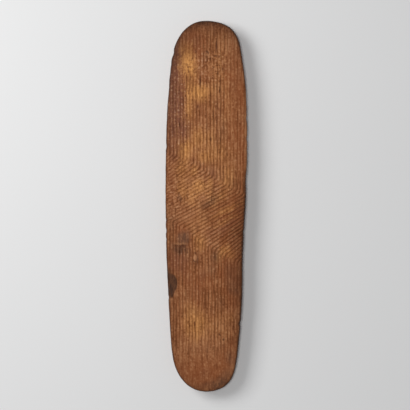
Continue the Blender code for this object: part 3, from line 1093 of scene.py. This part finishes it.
    pale: tuple[Patch, ...] = (
        # The first pale patch, a strip along the right rim, is painted light on the rim's shaded side.
        Patch(81.5, 160, 3.6, 110, 0.55, hardness=0.5), Patch(-22.2, -101.4, 3, 6.2, hardness=0.7),
        Patch(-53, -74.5, 14.5, 1.7, 0.60, hardness=0.3), Patch(4, -278, 36, 22, 0.12),
        Patch(-61, -175, 2.6, 3.4, 0.60), Patch(-72, -187, 5, 4, 0.45), Patch(23.5, 321.5, 0.9, 12, 0.55),
        Patch(2, 302, 1.6, 1.6, 0.60), Patch(-7, 307, 1.6, 2, 0.45), Patch(-1, -125, 9, 8, 0.22),
        Patch(-8, 30, 14, 30, 0.15, lean=60), Patch(-32, -18, 9, 16, 0.28, lean=60),
        Patch(-5.6, 15.5, 8, 7, 0.28), Patch(10.4, 72, 8, 8, 0.25), Patch(32.4, 61.5, 8, 10, 0.20),
        Patch(-19.6, -38.5, 8, 9, 0.22), Patch(-57.6, -26.5, 8, 9, 0.22),
        Patch(-67.6, -284.5, 6, 10, 0.20), Patch(60.4, -302.5, 6, 9, 0.20),
        Patch(0.4, -282.5, 8, 8, 0.18), Patch(30.4, -274.5, 7, 8, 0.18), Patch(-39.6, -354.5, 8, 7, 0.20),
        Patch(-31.6, 47.5, 8, 10, 0.22), Patch(12.4, -74.5, 10, 8, 0.22), Patch(56, -320, 8, 12, 0.28),
        Patch(46, -332, 8, 8, 0.25), Patch(31, -239, 6, 9, 0.25), Patch(0, -254, 5, 13, 0.20),
    )
    black: tuple[Patch, ...] = (
        Patch(*DARK_PLACE, hardness=0.9), Patch(-70, -165, 6.2, 16.8, hardness=0.85),
        Patch(-77, -133, 7, 10, 0.60, hardness=0.3), Patch(-45.6, -64.5, 8, 8, 0.16),
    )

    def patches(self, stain: Stain) -> tuple[Patch, ...]:
        """Return the patches of one stain."""
        return {Stain.GOLD: self.gold, Stain.PURPLE: self.purple, Stain.RED: self.red, Stain.GREY: self.grey,
                Stain.PALE: self.pale, Stain.BLACK: self.black}[stain]

    def rim_shade_at(self, x: np.ndarray, y: np.ndarray, margin: np.ndarray) -> np.ndarray:
        """Return how much of the rim's grime and painted shade lies at places: its strength, by e to the
        margin over its reach.

        The strengths and reaches are carried in straight steps from one place on a side's rim to the next.

        Args:
            x: places across the board.
            y: places along it.
            margin: how far the places lie inside the outline.

        Returns:
            The shares, from 0 to 1.
        """
        inside = np.maximum(margin * (1.0 + self.rim_border.layered(x, y)), 0.0)
        right = smooth_step(x / self.side_blend + 0.5)
        total = np.zeros(np.shape(x))
        for side, share in ((Side.LEFT, 1.0 - right), (Side.RIGHT, right)):
            own = [(shade.y, shade.strength, shade.reach) for shade in self.rim_shades if shade.side is side]
            places, strengths, reaches = np.array(sorted(own)).T
            reach = np.interp(y / MM, places, reaches) * MM
            total += share * np.interp(y / MM, places, strengths) * np.exp(-inside / reach)
        return np.clip(total, 0.0, 1.0)

    def strengths(self, stain: Stain, x: np.ndarray, y: np.ndarray) -> np.ndarray:
        """Return the strength of one stain, from 0 to 1, with the patches' borders pushed about by noise.

        Args:
            stain: which stain.
            x: places across the board.
            y: places along it.

        Returns:
            The strengths: one less the product of what each patch leaves clear.
        """
        share = self.steady_wander if stain in self.steady else 1.0
        shifted_x = x + share * self.wander_across.layered(x, y)
        shifted_y = y + share * self.wander_along.layered(x, y)
        clear = np.ones(np.shape(x))
        for patch in self.patches(stain):
            clear = clear * (1.0 - patch.strength_at(shifted_x, shifted_y))
        return 1.0 - clear


@dataclass(frozen=True)
class Span:
    """How a value is carried over: from low and high to start and stop, and held between those two."""

    low: float
    high: float
    start: float = 0.0
    stop: float = 1.0


@dataclass(frozen=True)
class Texture:
    """Smooth noise in a finish: how it is drawn out, its features to the metre and its weight in the tone."""

    stretch: Stretch
    scale: float
    detail: float
    distortion: float = 0.0
    weight: float = field(default=0.0, kw_only=True)


@dataclass(frozen=True)
class Tint:
    """A stain's colour, the most of it that covers, and its lean to light wood, or below 0 to dark wood."""

    stain: Stain
    colour: Colour
    most: float
    lean: float = -1.0


class Canvas:
    """A material's node tree, with short ways to add the nodes that its finish is made of."""

    def __init__(self, name: str) -> None:
        """Start a material that has a Principled shader and nothing else.

        Args:
            name: the material's name.
        """
        self.material = bpy.data.materials.new(name)
        self.material.use_nodes = True
        self.nodes = self.material.node_tree.nodes
        self.links = self.material.node_tree.links
        self.shader = self.nodes["Principled BSDF"]
        self.places: dict[Stretch, Socket] = {}

    def feed(self, node: bpy.types.Node, inputs: dict[int | str, Input]) -> None:
        """Give a node's inputs their values: a socket is linked, and anything else is set.

        Args:
            node: the node.
            inputs: the values, by the inputs' names or numbers.
        """
        for key, value in inputs.items():
            if isinstance(value, Socket):
                self.links.new(value, node.inputs[key])
            else:
                node.inputs[key].default_value = value

    def place(self, stretch: Stretch) -> Socket:
        """Return the object's coordinates, with their Y scaled by a stretch.

        Args:
            stretch: which stretch. Its nodes are added only once.

        Returns:
            The coordinates.
        """
        if stretch not in self.places:
            coordinates = self.nodes.new("ShaderNodeTexCoord")
            mapping = self.nodes.new("ShaderNodeMapping")
            self.feed(mapping, {"Vector": coordinates.outputs["Object"], "Scale": (1.0, stretch.value, 1.0)})
            self.places[stretch] = mapping.outputs["Vector"]
        return self.places[stretch]

    def point(self, x: Input, y: Input) -> Socket:
        """Return a vector made from X and Y.

        Args:
            x: its first part.
            y: its second part.

        Returns:
            The vector.
        """
        node = self.nodes.new("ShaderNodeCombineXYZ")
        self.feed(node, {"X": x, "Y": y})
        return node.outputs[0]

    def noise(self, texture: Texture, place: Socket | None = None) -> Socket:
        """Return smooth noise from 0 to 1.

        Args:
            texture: what the noise is like.
            place: where it is read. None is the object's coordinates, drawn out by the texture's stretch.

        Returns:
            The noise.
        """
        node = self.nodes.new("ShaderNodeTexNoise")
        self.feed(node, {"Vector": place or self.place(texture.stretch), "Scale": texture.scale,
                         "Detail": texture.detail, "Distortion": texture.distortion})
        return node.outputs["Fac"]

    def carried(self, name: str) -> Socket:
        """Return an attribute that the mesh carries.

        Args:
            name: the attribute's name.

        Returns:
            Its value.
        """
        node = self.nodes.new("ShaderNodeAttribute")
        node.attribute_name = name
        return node.outputs["Fac"]

    def reckon(self, operation: str, *values: Input, held: bool = False) -> Socket:
        """Return the result of a Math node.

        Args:
            operation: what the node does.
            *values: one to three values that it takes.
            held: whether the result is held between 0 and 1.

        Returns:
            The result.
        """
        node = self.nodes.new("ShaderNodeMath")
        node.operation = operation
        node.use_clamp = held
        self.feed(node, dict(enumerate(values)))
        return node.outputs["Value"]

    def product(self, first: Input, *others: Input) -> Socket:
        """Return the product of some values.

        Args:
            first: the first value.
            *others: one or more others, multiplied in from left to right.

        Returns:
            The product.
        """
        for other in others:
            first = self.reckon("MULTIPLY", first, other)
        return first

    def spread(self, value: Input, span: Span) -> Socket:
        """Return a value carried over from one range to another.

        Args:
            value: the value.
            span: both ranges.

        Returns:
            The new value.
        """
        node = self.nodes.new("ShaderNodeMapRange")
        self.feed(node, {"Value": value, "From Min": span.low, "From Max": span.high, "To Min": span.start,
                         "To Max": span.stop})
        return node.outputs["Result"]

    def blend(self, share: Input, first: Input, second: Input, mode: str = "MIX") -> Socket:
        """Return two colours mixed.

        Args:
            share: how much of the second colour, or of its effect.
            first: the colour underneath.
            second: the colour on top.
            mode: how the second acts on the first.

        Returns:
            The mixed colour.
        """
        node = self.nodes.new("ShaderNodeMix")
        node.data_type = "RGBA"
        node.blend_type = mode
        kinds = [socket.type for socket in node.inputs]
        below = kinds.index("RGBA")
        self.feed(node, {kinds.index("VALUE"): share, below: first, kinds.index("RGBA", below + 1): second})
        return next(socket for socket in node.outputs if socket.type == "RGBA")


@dataclass(frozen=True)
class WoodFinish:
    """Hand-cut brown hardwood with a worn, oiled and dusty patina, darker in the flutes; grime and painted
    shade darken the rim.

    Grain and pores run along Y. Beads are the short hatches that the blade leaves along each ridge: noise
    that runs along the flute and starts anew with each flute's count.
    """

    deep: Colour = (0.172, 0.052, 0.014, 1.0)
    middle: Colour = (0.315, 0.112, 0.039, 1.0)
    light: Colour = (0.446, 0.193, 0.080, 1.0)
    dust: Colour = (0.560, 0.330, 0.210, 1.0)
    dirt: Colour = (0.086, 0.024, 0.0068, 1.0)
    pale: Colour = (0.525, 0.243, 0.112, 1.0)
    black: Colour = (0.052, 0.019, 0.0070, 1.0)
    worn_black: Colour = (0.138, 0.052, 0.0190, 1.0)
    # The rim's dark and the tint that darkens towards it: grime, with painted shade.
    rim: Colour = (0.066, 0.028, 0.015, 1.0)
    rim_shade: Colour = (0.215, 0.165, 0.130, 1.0)
    tints: tuple[Tint, ...] = (
        Tint(Stain.GOLD, (0.805, 0.370, 0.106, 1.0), 0.85, lean=1.2),
        Tint(Stain.RED, (0.270, 0.076, 0.022, 1.0), 0.70),
        Tint(Stain.PURPLE, (0.220, 0.080, 0.045, 1.0), 0.75),
        Tint(Stain.GREY, (0.120, 0.054, 0.027, 1.0), 0.80),
    )
    textures: dict[str, Texture] = field(default_factory=lambda: {
        "grain": Texture(Stretch.LONG, 260.0, 4.0, 0.6, weight=1.1),
        "streaks": Texture(Stretch.SHORT, 310.0, 2.0, 0.4, weight=1.3),
        "mottle": Texture(Stretch.EVEN, 26.0, 4.0, 0.5, weight=0.8),
        "cloud": Texture(Stretch.EVEN, 75.0, 3.0, 0.4, weight=0.5),
        "fine": Texture(Stretch.LONG, 1100.0, 3.0, 0.3, weight=0.6),
        "speckle": Texture(Stretch.SHORT, 520.0, 2.0, weight=1.1),
        "flecks": Texture(Stretch.EVEN, 300.0, 2.0, weight=0.5),
        "pores": Texture(Stretch.SHORT, 1300.0, 2.0),
    })
    beads: Texture = Texture(Stretch.EVEN, 230.0, 1.5)
    flute_step: float = 0.031
    crest: Span = Span(0.38, 0.14)
    calm: Span = Span(0.3, 0.9, 1.0, 0.85)
    flute_tone: float = 0.12
    bead_tone: float = 1.5
    chop_tone: float = 1.3
    deep_tones: Span = Span(-0.5, 0.0)
    light_tones: Span = Span(0.0, 0.5)
    chop_dust: float = 0.5
    least_dust: float = 0.10
    dust_share: float = 0.66
    bead_specks: Span = Span(0.52, 0.68)
    fleck_specks: Span = Span(0.42, 0.58)
    groove_dirt: float = 0.67
    groove_speckle: Span = Span(0.36, 0.62, 0.45, 1.15)
    groove_mottle: Span = Span(0.35, 0.65, 0.60, 1.10)
    chop_ticks: float = 0.5
    speckle_ticks: Span = Span(0.44, 0.34)
    fleck_ticks: Span = Span(0.52, 0.40)
    scraped: Span = Span(0.30, 0.60, 0.6, 1.0)
    black_streaks: Span = Span(0.42, 0.60)
    black_flecks: Span = Span(0.48, 0.62, 0.0, 0.55)
    pore_spots: Span = Span(0.66, 0.74, 0.0, 0.45)
    shade_cloud: Span = Span(0.30, 0.70, 1.10, 0.85)
    rim_grain: Span = Span(0.25, 0.60, 0.75, 1.0)
    tone_roughness: Span = Span(-0.4, 0.4, 0.70, 0.56)
    groove_roughness: float = 0.22
    specular: float = 0.16
    relief: tuple[tuple[str, float], ...] = (
        ("fine", 0.35), ("speckle", 0.45), ("beaded", 0.60), ("chopped", 0.50), ("pores", -0.20))
    bump_strength: float = 0.60
    bump_distance: float = 0.0008

    def material(self) -> bpy.types.Material:
        """Lay clean wood first, then what the years have added to it, and then its gloss.

        Returns:
            The wood's material.
        """
        canvas = WoodCanvas(self)
        for step in (canvas.tone, canvas.stain, canvas.dust, canvas.dirty, canvas.scar, canvas.shade,
                     canvas.gloss):
            step()
        return canvas.material


class WoodCanvas(Canvas):
    """The wood's material in the making: its finish, its layers by name, and its colour so far.

    The layers are the finish's noises, the attributes that the mesh carries, and what is worked out from
    them. The stains, the grooves' dirt and the rim's grime and painted shade are each broken up by noise.
    """

    def __init__(self, finish: WoodFinish) -> None:
        """Add the layers.

        Args:
            finish: the colours, spans and strengths.
        """
        super().__init__("carved_wood")
        self.finish = finish
        self.colour: Input = finish.deep
        self.layers = {name: self.noise(texture) for name, texture in finish.textures.items()}
        for name in (*PLAIN_MARKS, *(stain.value for stain in Stain)):
            self.layers[name] = self.carried(name)
        counted = self.layers["flute_count"]
        ridge = self.product(self.reckon("FLOOR", counted), finish.flute_step)
        aside = self.reckon("ABSOLUTE", self.reckon("SUBTRACT", self.reckon("FRACT", counted), 0.5))
        self.layers["beads"] = self.noise(finish.beads, self.point(ridge, self.layers["flute_run"]))
        self.layers["crest"] = self.product(self.spread(aside, finish.crest), self.layers["carved"])
        self.layers["rough"] = self.product(self.layers["chop"], self.seen(Stain.GOLD.value, finish.calm))
        self.layers["beaded"] = self.product(self.centred("beads"), self.layers["crest"])
        self.layers["chopped"] = self.product(self.centred("flecks"), self.layers["rough"])

    def seen(self, name: str, span: Span) -> Socket:
        """Return a layer, carried over a span."""
        return self.spread(self.layers[name], span)

    def centred(self, name: str) -> Socket:
        """Return a noise less its middle."""
        return self.reckon("SUBTRACT", self.layers[name], 0.5)

    def cover(self, share: Input, colour: Input, mode: str = "MIX") -> None:
        """Lay a share of a colour over the colour so far."""
        self.colour = self.blend(share, self.colour, colour, mode)

    def tone(self) -> None:
        """Work out the tone, and make clean wood that is deep, middle or light by it.

        The tone is the flute's own tone and the weighted sum of the noises, each less its middle. Along the
        crests of the ridges the beads join in, and where the wood is chopped, the flecks once more.
        """
        tone = self.product(self.layers["flute_tone"], self.finish.flute_tone)
        for name, texture in self.finish.textures.items():
            if texture.weight:
                tone = self.reckon("MULTIPLY_ADD", self.centred(name), texture.weight, tone)
        tone = self.reckon("MULTIPLY_ADD", self.layers["beaded"], self.finish.bead_tone, tone)
        tone = self.reckon("MULTIPLY_ADD", self.layers["chopped"], self.finish.chop_tone, tone)
        self.layers["tone"] = tone
        self.cover(self.spread(tone, self.finish.deep_tones), self.finish.middle)
        self.cover(self.spread(tone, self.finish.light_tones), self.finish.light)

    def stain(self) -> None:
        """Add the stains, each by its strength, more or less by the strength times the tone and the lean."""
        for tint in self.finish.tints:
            strength = self.layers[tint.stain.value]
            lift = self.product(self.layers["tone"], strength)
            share = self.reckon("MULTIPLY_ADD", lift, tint.lean, strength, held=True)
            self.cover(self.product(share, tint.most), tint.colour)

    def dust(self) -> None:
        """Add specks of dust on the crests: most on purple and on chopped wood, least by the rim."""
        purple = self.layers[Stain.PURPLE.value]
        dusty = self.reckon("MULTIPLY_ADD", self.layers["rough"], self.finish.chop_dust, purple)
        dusty = self.reckon("ADD", dusty, self.finish.least_dust)
        dusty = self.reckon("SUBTRACT", dusty, self.layers["rim_shade"], held=True)
        specks = self.product(self.seen("beads", self.finish.bead_specks),
                              self.seen("flecks", self.finish.fleck_specks), dusty, self.layers["crest"])
        self.cover(self.product(specks, self.finish.dust_share), self.finish.dust)

    def dirty(self) -> None:
        """Add dirt in the grooves, in short ticks on chopped wood, and in the dents."""
        grooves = self.product(self.layers["groove"], self.seen("speckle", self.finish.groove_speckle),
                               self.seen("mottle", self.finish.groove_mottle))
        self.cover(self.reckon("MULTIPLY", grooves, self.finish.groove_dirt, held=True), self.finish.dirt)
        ticks = self.product(self.seen("speckle", self.finish.speckle_ticks),
                             self.seen("flecks", self.finish.fleck_ticks),
                             self.product(self.layers["rough"], self.finish.chop_ticks))
        self.cover(ticks, self.finish.dirt)
        self.cover(self.layers["dent_dirt"], self.finish.dirt)

    def scar(self) -> None:
        """Add the scraped pale places with the painted light strip on the right rim, the black ones, and dirt
        in the pores.
        """
        scraped = self.product(self.layers[Stain.PALE.value], self.seen("speckle", self.finish.scraped))
        self.cover(scraped, self.finish.pale)
        streaked = self.seen("streaks", self.finish.black_streaks)
        black = self.blend(streaked, self.finish.black, self.finish.worn_black)
        black = self.blend(self.seen("flecks", self.finish.black_flecks), black, self.finish.dirt)
        self.cover(self.layers[Stain.BLACK.value], black)
        self.cover(self.seen("pores", self.finish.pore_spots), self.finish.dirt)

    def shade(self) -> None:
        """Darken the wood towards the rim and on the rim itself, with grime and painted shade."""
        cloud = self.seen("cloud", self.finish.shade_cloud)
        shade = self.reckon("MULTIPLY", self.layers["rim_shade"], cloud, held=True)
        self.cover(shade, self.finish.rim_shade, "MULTIPLY")
        edge = self.product(self.layers["rim"], self.seen("grain", self.finish.rim_grain))
        self.cover(edge, self.finish.rim)

    def gloss(self) -> None:
        """Give the shader its colour, its roughness, which is more in the grooves, and the finest relief."""
        roughness = self.reckon("MULTIPLY_ADD", self.layers["groove"], self.finish.groove_roughness,
                                self.seen("tone", self.finish.tone_roughness), held=True)
        height: Input = 0.0
        for name, weight in self.finish.relief:
            height = self.reckon("MULTIPLY_ADD", self.layers[name], weight, height)
        bump = self.nodes.new("ShaderNodeBump")
        self.feed(bump, {"Height": height, "Strength": self.finish.bump_strength,
                         "Distance": self.finish.bump_distance})
        self.feed(self.shader, {"Base Color": self.colour, "Roughness": roughness,
                                "Normal": bump.outputs["Normal"], "Specular IOR Level": self.finish.specular})


def read_points(mesh: bpy.types.Mesh) -> np.ndarray:
    """Return a mesh's points as rows of X, Y and Z.

    Args:
        mesh: the mesh.

    Returns:
        The rows.
    """
    points = np.empty(len(mesh.vertices) * 3)
    mesh.vertices.foreach_get("co", points)
    return points.reshape(-1, 3)


def read_marks(mesh: bpy.types.Mesh) -> tuple[np.ndarray, np.ndarray]:
    """Return for each point the mean count of its fluted corners and their mean way along the flute.

    Args:
        mesh: the mesh, with its UV map of marks.

    Returns:
        The counts and the ways. Where no corner is fluted, they are the count of unfluted wood and 0.
    """
    corners = np.empty(len(mesh.loops), dtype=np.int32)
    mesh.loops.foreach_get("vertex_index", corners)
    values = np.empty(len(corners) * 2)
    mesh.uv_layers[MARK_MAP].uv.foreach_get("vector", values)
    counts, runs = values.reshape(-1, 2).T
    fluted = counts > NOT_FLUTED / 2.0
    number = np.bincount(corners[fluted], minlength=len(mesh.vertices))
    total_count, total_run = (np.bincount(corners[fluted], weights=part[fluted], minlength=len(number))
                              for part in (counts, runs))
    shared = np.maximum(number, 1)
    return np.where(number > 0, total_count / shared, NOT_FLUTED), total_run / shared


def write_values(mesh: bpy.types.Mesh, name: str, values: np.ndarray) -> None:
    """Give a mesh an attribute with a value for each point."""
    attribute = mesh.attributes.new(name, "FLOAT", "POINT")
    attribute.data.foreach_set("value", np.asarray(values, dtype=np.float32))


@dataclass
class Shield:
    """The whole shield: its parts are joined, its hollow and its flutes cut, and its wood dressed."""

    board: Board
    flutes: Flutes
    grip: Grip
    patina: Patina = field(default_factory=Patina)
    finish: WoodFinish = field(default_factory=WoodFinish)
    merge_distance: float = 0.00012
    sliver_length: float = 0.00005
    arris_angle: float = math.radians(22.0)
    face_margin: float = 0.005
    worn_face_margin: float = 0.006
    spread_rounds: int = 2
    spread_share: float = 1.5
    sole_guard: float = 0.001
    sole_fade: float = 0.003
    softening_rounds: int = 10
    softening_step: float = 0.5
    tone: Noise = Noise(71, 1 / 1.37, 0.05)
    rim_border: Noise = Noise(72, 0.008, 0.012, 0.0012)
    rim_start: float = 0.0008
    rim_fade: float = 0.0034
    # The dark rim widens on the right, the side away from the key light, as painted shade.
    right_rim_shade_width: float = 0.0008
    right_rim_shade_start: float = -0.02
    right_rim_shade_fade: float = 0.08
    rim_darkness: float = 1.22
    plain_chop: float = 0.3
    # The share of the rim's grime and painted shade that the wood off the face gets.
    plain_rim_shade: float = 0.25
    stained_share: float = 0.4

    def act(self, target: bpy.types.Object, tool: bpy.types.Object, how: Joinery) -> None:
        """Join a shape to the target or cut it away, and remove the shape.

        Args:
            target: what the shape acts on.
            tool: the shape.
            how: whether it is joined or cut away.
        """
        step = target.modifiers.new(tool.name, "BOOLEAN")
        step.operation = how.value
        step.object = tool
        step.solver = "MANIFOLD"
        evaluated = target.evaluated_get(bpy.context.evaluated_depsgraph_get())
        result = bpy.data.meshes.new_from_object(evaluated)
        target.modifiers.clear()
        target.data = result
        bpy.data.objects.remove(tool, do_unlink=True)

    def build(self) -> bpy.types.Object:
        """Carve the shield, soften its arrises, write its attributes and give it its material.

        Returns:
            The finished piece.
        """
        shield = self.board.blank()
        self.act(shield, self.grip.bar(), Joinery.JOIN)
        self.act(shield, self.grip.hollow(), Joinery.CUT)
        self.act(shield, self.flutes.cutter(), Joinery.CUT)
        shield.name = shield.data.name = "carved_shield"
        self.clean(shield.data)
        self.soften(shield.data)
        self.mark(shield.data)
        shield.data.shade_smooth()
        shield.data.materials.clear()
        shield.data.materials.append(self.finish.material())
        return shield

    def clean(self, mesh: bpy.types.Mesh) -> None:
        """Merge the slivers that the cuts leave, and split faces of more than four corners.

        Args:
            mesh: the shield's mesh.
        """
        shape = bmesh.new()
        shape.from_mesh(mesh)
        bmesh.ops.remove_doubles(shape, verts=shape.verts, dist=self.merge_distance)
        bmesh.ops.dissolve_degenerate(shape, edges=shape.edges, dist=self.sliver_length)
        many = [face for face in shape.faces if len(face.verts) > 4]
        bmesh.ops.triangulate(shape, faces=many)
        shape.to_mesh(mesh)
        shape.free()

    def soften(self, mesh: bpy.types.Mesh) -> None:
        """Wear the arrises round.

        Points on edges where two faces meet at a clear angle, away from the fluted face's inside and the
        sole, move a share of the way to the mean of their neighbours, in repeated rounds, and their
        neighbours move less.

        Args:
            mesh: the shield's mesh.
        """
        points = read_points(mesh)
        pairs = np.empty(len(mesh.edges) * 2, dtype=np.int32)
        mesh.edges.foreach_get("vertices", pairs)
        pairs = pairs.reshape(-1, 2)
        count = len(points)
        weight = np.zeros(count)
        weight[pairs[self.sharp_edges(mesh)].ravel()] = 1.0
        margin = self.board.outline.margin(points[:, 0], points[:, 1])
        fluted = read_marks(mesh)[0] > NOT_FLUTED / 2.0
        weight[fluted & (margin > self.face_margin)] = 0.0
        both = np.concatenate((pairs, pairs[:, ::-1]))
        degree = np.maximum(np.bincount(both[:, 0], minlength=count), 1)
        for _ in range(self.spread_rounds):
            near = np.bincount(both[:, 0], weights=weight[both[:, 1]], minlength=count) / degree
            weight = np.maximum(weight, np.minimum(1.0, near * self.spread_share))
        weight *= smooth_step((points[:, 2] - self.sole_guard) / self.sole_fade)
        weight[fluted & (margin > self.worn_face_margin)] = 0.0
        for _ in range(self.softening_rounds):
            mean = np.column_stack([
                np.bincount(both[:, 0], weights=points[both[:, 1], axis], minlength=count) / degree
                for axis in range(3)
            ])
            points = points + (self.softening_step * weight)[:, None] * (mean - points)
        mesh.vertices.foreach_set("co", points.ravel())
        mesh.update()

    def sharp_edges(self, mesh: bpy.types.Mesh) -> np.ndarray:
        """Return for each edge whether its two faces meet at more than the arris angle.

        Args:
            mesh: a closed mesh.

        Returns:
            True or False for each edge.
        """
        normals = np.empty(len(mesh.polygons) * 3)
        mesh.polygons.foreach_get("normal", normals)
        sizes = np.empty(len(mesh.polygons), dtype=np.int32)
        mesh.polygons.foreach_get("loop_total", sizes)
        edges = np.empty(len(mesh.loops), dtype=np.int32)
        mesh.loops.foreach_get("edge_index", edges)
        faces = np.repeat(np.arange(len(sizes)), sizes)[np.argsort(edges, kind="stable")].reshape(-1, 2)
        first, second = normals.reshape(-1, 3)[faces.T]
        return (first * second).sum(axis=1) < math.cos(self.arris_angle)

    def rim_at(self, x: np.ndarray, y: np.ndarray, margin: np.ndarray) -> np.ndarray:
        """Return how much of the dark rim shows, grime with painted shade: all on the very edge, in a band
        that is wider on the right.

        Args:
            x: places across the board.
            y: places along it.
            margin: how far the places lie inside the outline.

        Returns:
            The shares, from 0 to 1.
        """
        # Painted shade: the band widens on the right, away from the key light.
        wider = self.right_rim_shade_width * smooth_step((x - self.right_rim_shade_start) / self.right_rim_shade_fade)
        inside = margin - self.rim_start + self.rim_border.layered(x, y) - wider
        darkness = self.rim_darkness * np.sqrt(self.patina.rim_shade_at(x, y, 0.0 * margin))
        return (1.0 - smooth_step(inside / self.rim_fade)) * np.minimum(darkness, 1.0)

    def mark(self, mesh: bpy.types.Mesh) -> None:
        """Write what the material reads at each point: grooves, tones, stains, dirt, chopping and the rim.

        Args:
            mesh: the shield's mesh. It loses the flutes' own marks.
        """
        x, y, z = read_points(mesh).T
        counts, run = read_marks(mesh)
        fluted = counts > NOT_FLUTED / 2.0
        counts = np.where(fluted, counts, x / self.flutes.pitch_head)
        strength = np.clip(self.flutes.strength_at(counts, run, x, y), 0.0, 1.0)
        margin = self.board.outline.margin(x, y)
        back = self.board.back_height(x, y)
        over = z > back + self.stained_share * (self.board.face_height(x, y) - back)
        values = {
            "groove": np.where(fluted, self.flutes.groove_at(counts, run) * strength, 0.0),
            "flute_tone": self.tone.layered(np.floor(counts), run),
            "chop": np.where(fluted, self.flutes.chop_at(x, y), self.plain_chop),
            "dent_dirt": np.where(fluted, np.clip(self.flutes.dirt_at(x, y), 0.0, 1.0), 0.0),
            "rim": self.rim_at(x, y, margin),
            "flute_count": counts,
            "flute_run": run,
            "carved": fluted,
            # Off the face, the back, grip and hollow get a fixed share of the rim's grime and painted shade.
            "rim_shade": np.where(over, self.patina.rim_shade_at(x, y, margin), self.plain_rim_shade),
        }
        for stain in Stain:
            values[stain.value] = np.where(over, self.patina.strengths(stain, x, y), 0.0)
        for name, each in values.items():
            write_values(mesh, name, each)
        mesh.uv_layers.remove(mesh.uv_layers[MARK_MAP])


@dataclass(frozen=True)
class FloorFinish:
    """Plain pale matt floor, with the faintest cloudiness."""

    pale: Colour = (0.80, 0.80, 0.80, 1.0)
    cloud: Texture = Texture(Stretch.EVEN, 1.5, 3.0)
    cloud_brightness: float = 0.97
    roughness: float = 0.8
    specular: float = 0.2

    def material(self) -> bpy.types.Material:
        """Lay the floor's plain colour with its cloudiness.

        Returns:
            The floor's material.
        """
        canvas = Canvas("pale_floor")
        shade = tuple(self.cloud_brightness * part for part in self.pale[:3]) + (1.0,)
        colour = canvas.blend(canvas.noise(self.cloud), shade, self.pale)
        canvas.feed(canvas.shader, {"Base Color": colour, "Roughness": self.roughness,
                                    "Specular IOR Level": self.specular})
        return canvas.material


@dataclass(frozen=True)
class Lamp:
    """A square soft light: where it hangs, how wide it is and how strong."""

    name: str
    place: Place
    size: float
    power: float

    def hang(self) -> None:
        """Hang the light, facing the shield."""
        light = bpy.data.lights.new(self.name, "AREA")
        light.size = self.size
        light.energy = self.power
        made = bpy.data.objects.new(self.name, light)
        made.location = self.place
        made.rotation_euler = Vector(self.place).to_track_quat("Z", "Y").to_euler()
        bpy.context.scene.collection.objects.link(made)


@dataclass
class Studio:
    """A plain pale floor, a large soft light from the upper left, a weaker one overhead and a pale room."""

    floor_half: float = 14.0
    floor_finish: FloorFinish = field(default_factory=FloorFinish)
    lamps: tuple[Lamp, ...] = (
        Lamp("key_light", (-1.5, 0.75, 1.85), 1.3, 36.9),
        Lamp("overhead_light", (-0.35, 0.0, 6.0), 0.8, 122.0),
    )
    room_colour: Colour = (0.97, 0.98, 1.0, 1.0)
    room_strength: float = 0.14
    lens: float = 200.0
    sensor: float = 36.0
    view_width: float = 0.82
    view_centre: tuple[float, float] = (-0.0026, 0.0025)
    rim_height: float = 0.041

    def floor(self) -> None:
        """Make the floor, a level square under the sole."""
        half = self.floor_half
        mesh = bpy.data.meshes.new("floor")
        mesh.from_pydata([(-half, -half, 0.0), (half, -half, 0.0), (half, half, 0.0), (-half, half, 0.0)], [],
                         [(0, 1, 2, 3)])
        mesh.materials.append(self.floor_finish.material())
        made = bpy.data.objects.new("floor", mesh)
        bpy.context.scene.collection.objects.link(made)

    def room(self) -> None:
        """Light everything evenly and faintly from all around."""
        world = bpy.data.worlds.new("room")
        world.use_nodes = True
        background = world.node_tree.nodes["Background"]
        background.inputs["Color"].default_value = self.room_colour
        background.inputs["Strength"].default_value = self.room_strength
        scene = bpy.context.scene
        scene.world = world
        scene.view_settings.view_transform = "Standard"

    def camera(self) -> None:
        """Hang the camera over the shield, looking straight down with the head up."""
        lens = bpy.data.cameras.new("camera")
        lens.lens = self.lens
        lens.sensor_width = self.sensor
        made = bpy.data.objects.new("camera", lens)
        height = self.rim_height + self.view_width * self.lens / self.sensor
        made.location = (*self.view_centre, height)
        bpy.context.scene.collection.objects.link(made)
        bpy.context.scene.camera = made

    def set_up(self) -> None:
        """Make the floor, the lights, the room and the camera."""
        self.floor()
        for lamp in self.lamps:
            lamp.hang()
        self.room()
        self.camera()


def main() -> None:
    """Load the frame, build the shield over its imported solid, and set up the studio."""
    logging.basicConfig(level=logging.INFO, format="%(name)s: %(message)s")
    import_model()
    low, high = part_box("shield")
    Studio().set_up()

    outline = Outline(length=high[1] - low[1], width=high[0] - low[0])
    board = Board(outline, full_height=high[2] - low[2])
    shield = Shield(board, Flutes(board), Grip(depth=board.rise))
    piece = shield.build()
    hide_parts("shield")
    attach(piece, "root")
    triangles = sum(len(face.vertices) - 2 for face in piece.data.polygons)
    LOG.info("%s: %d points, %d triangles", piece.name, len(piece.data.vertices), triangles)


if __name__ == "__main__":
    main()
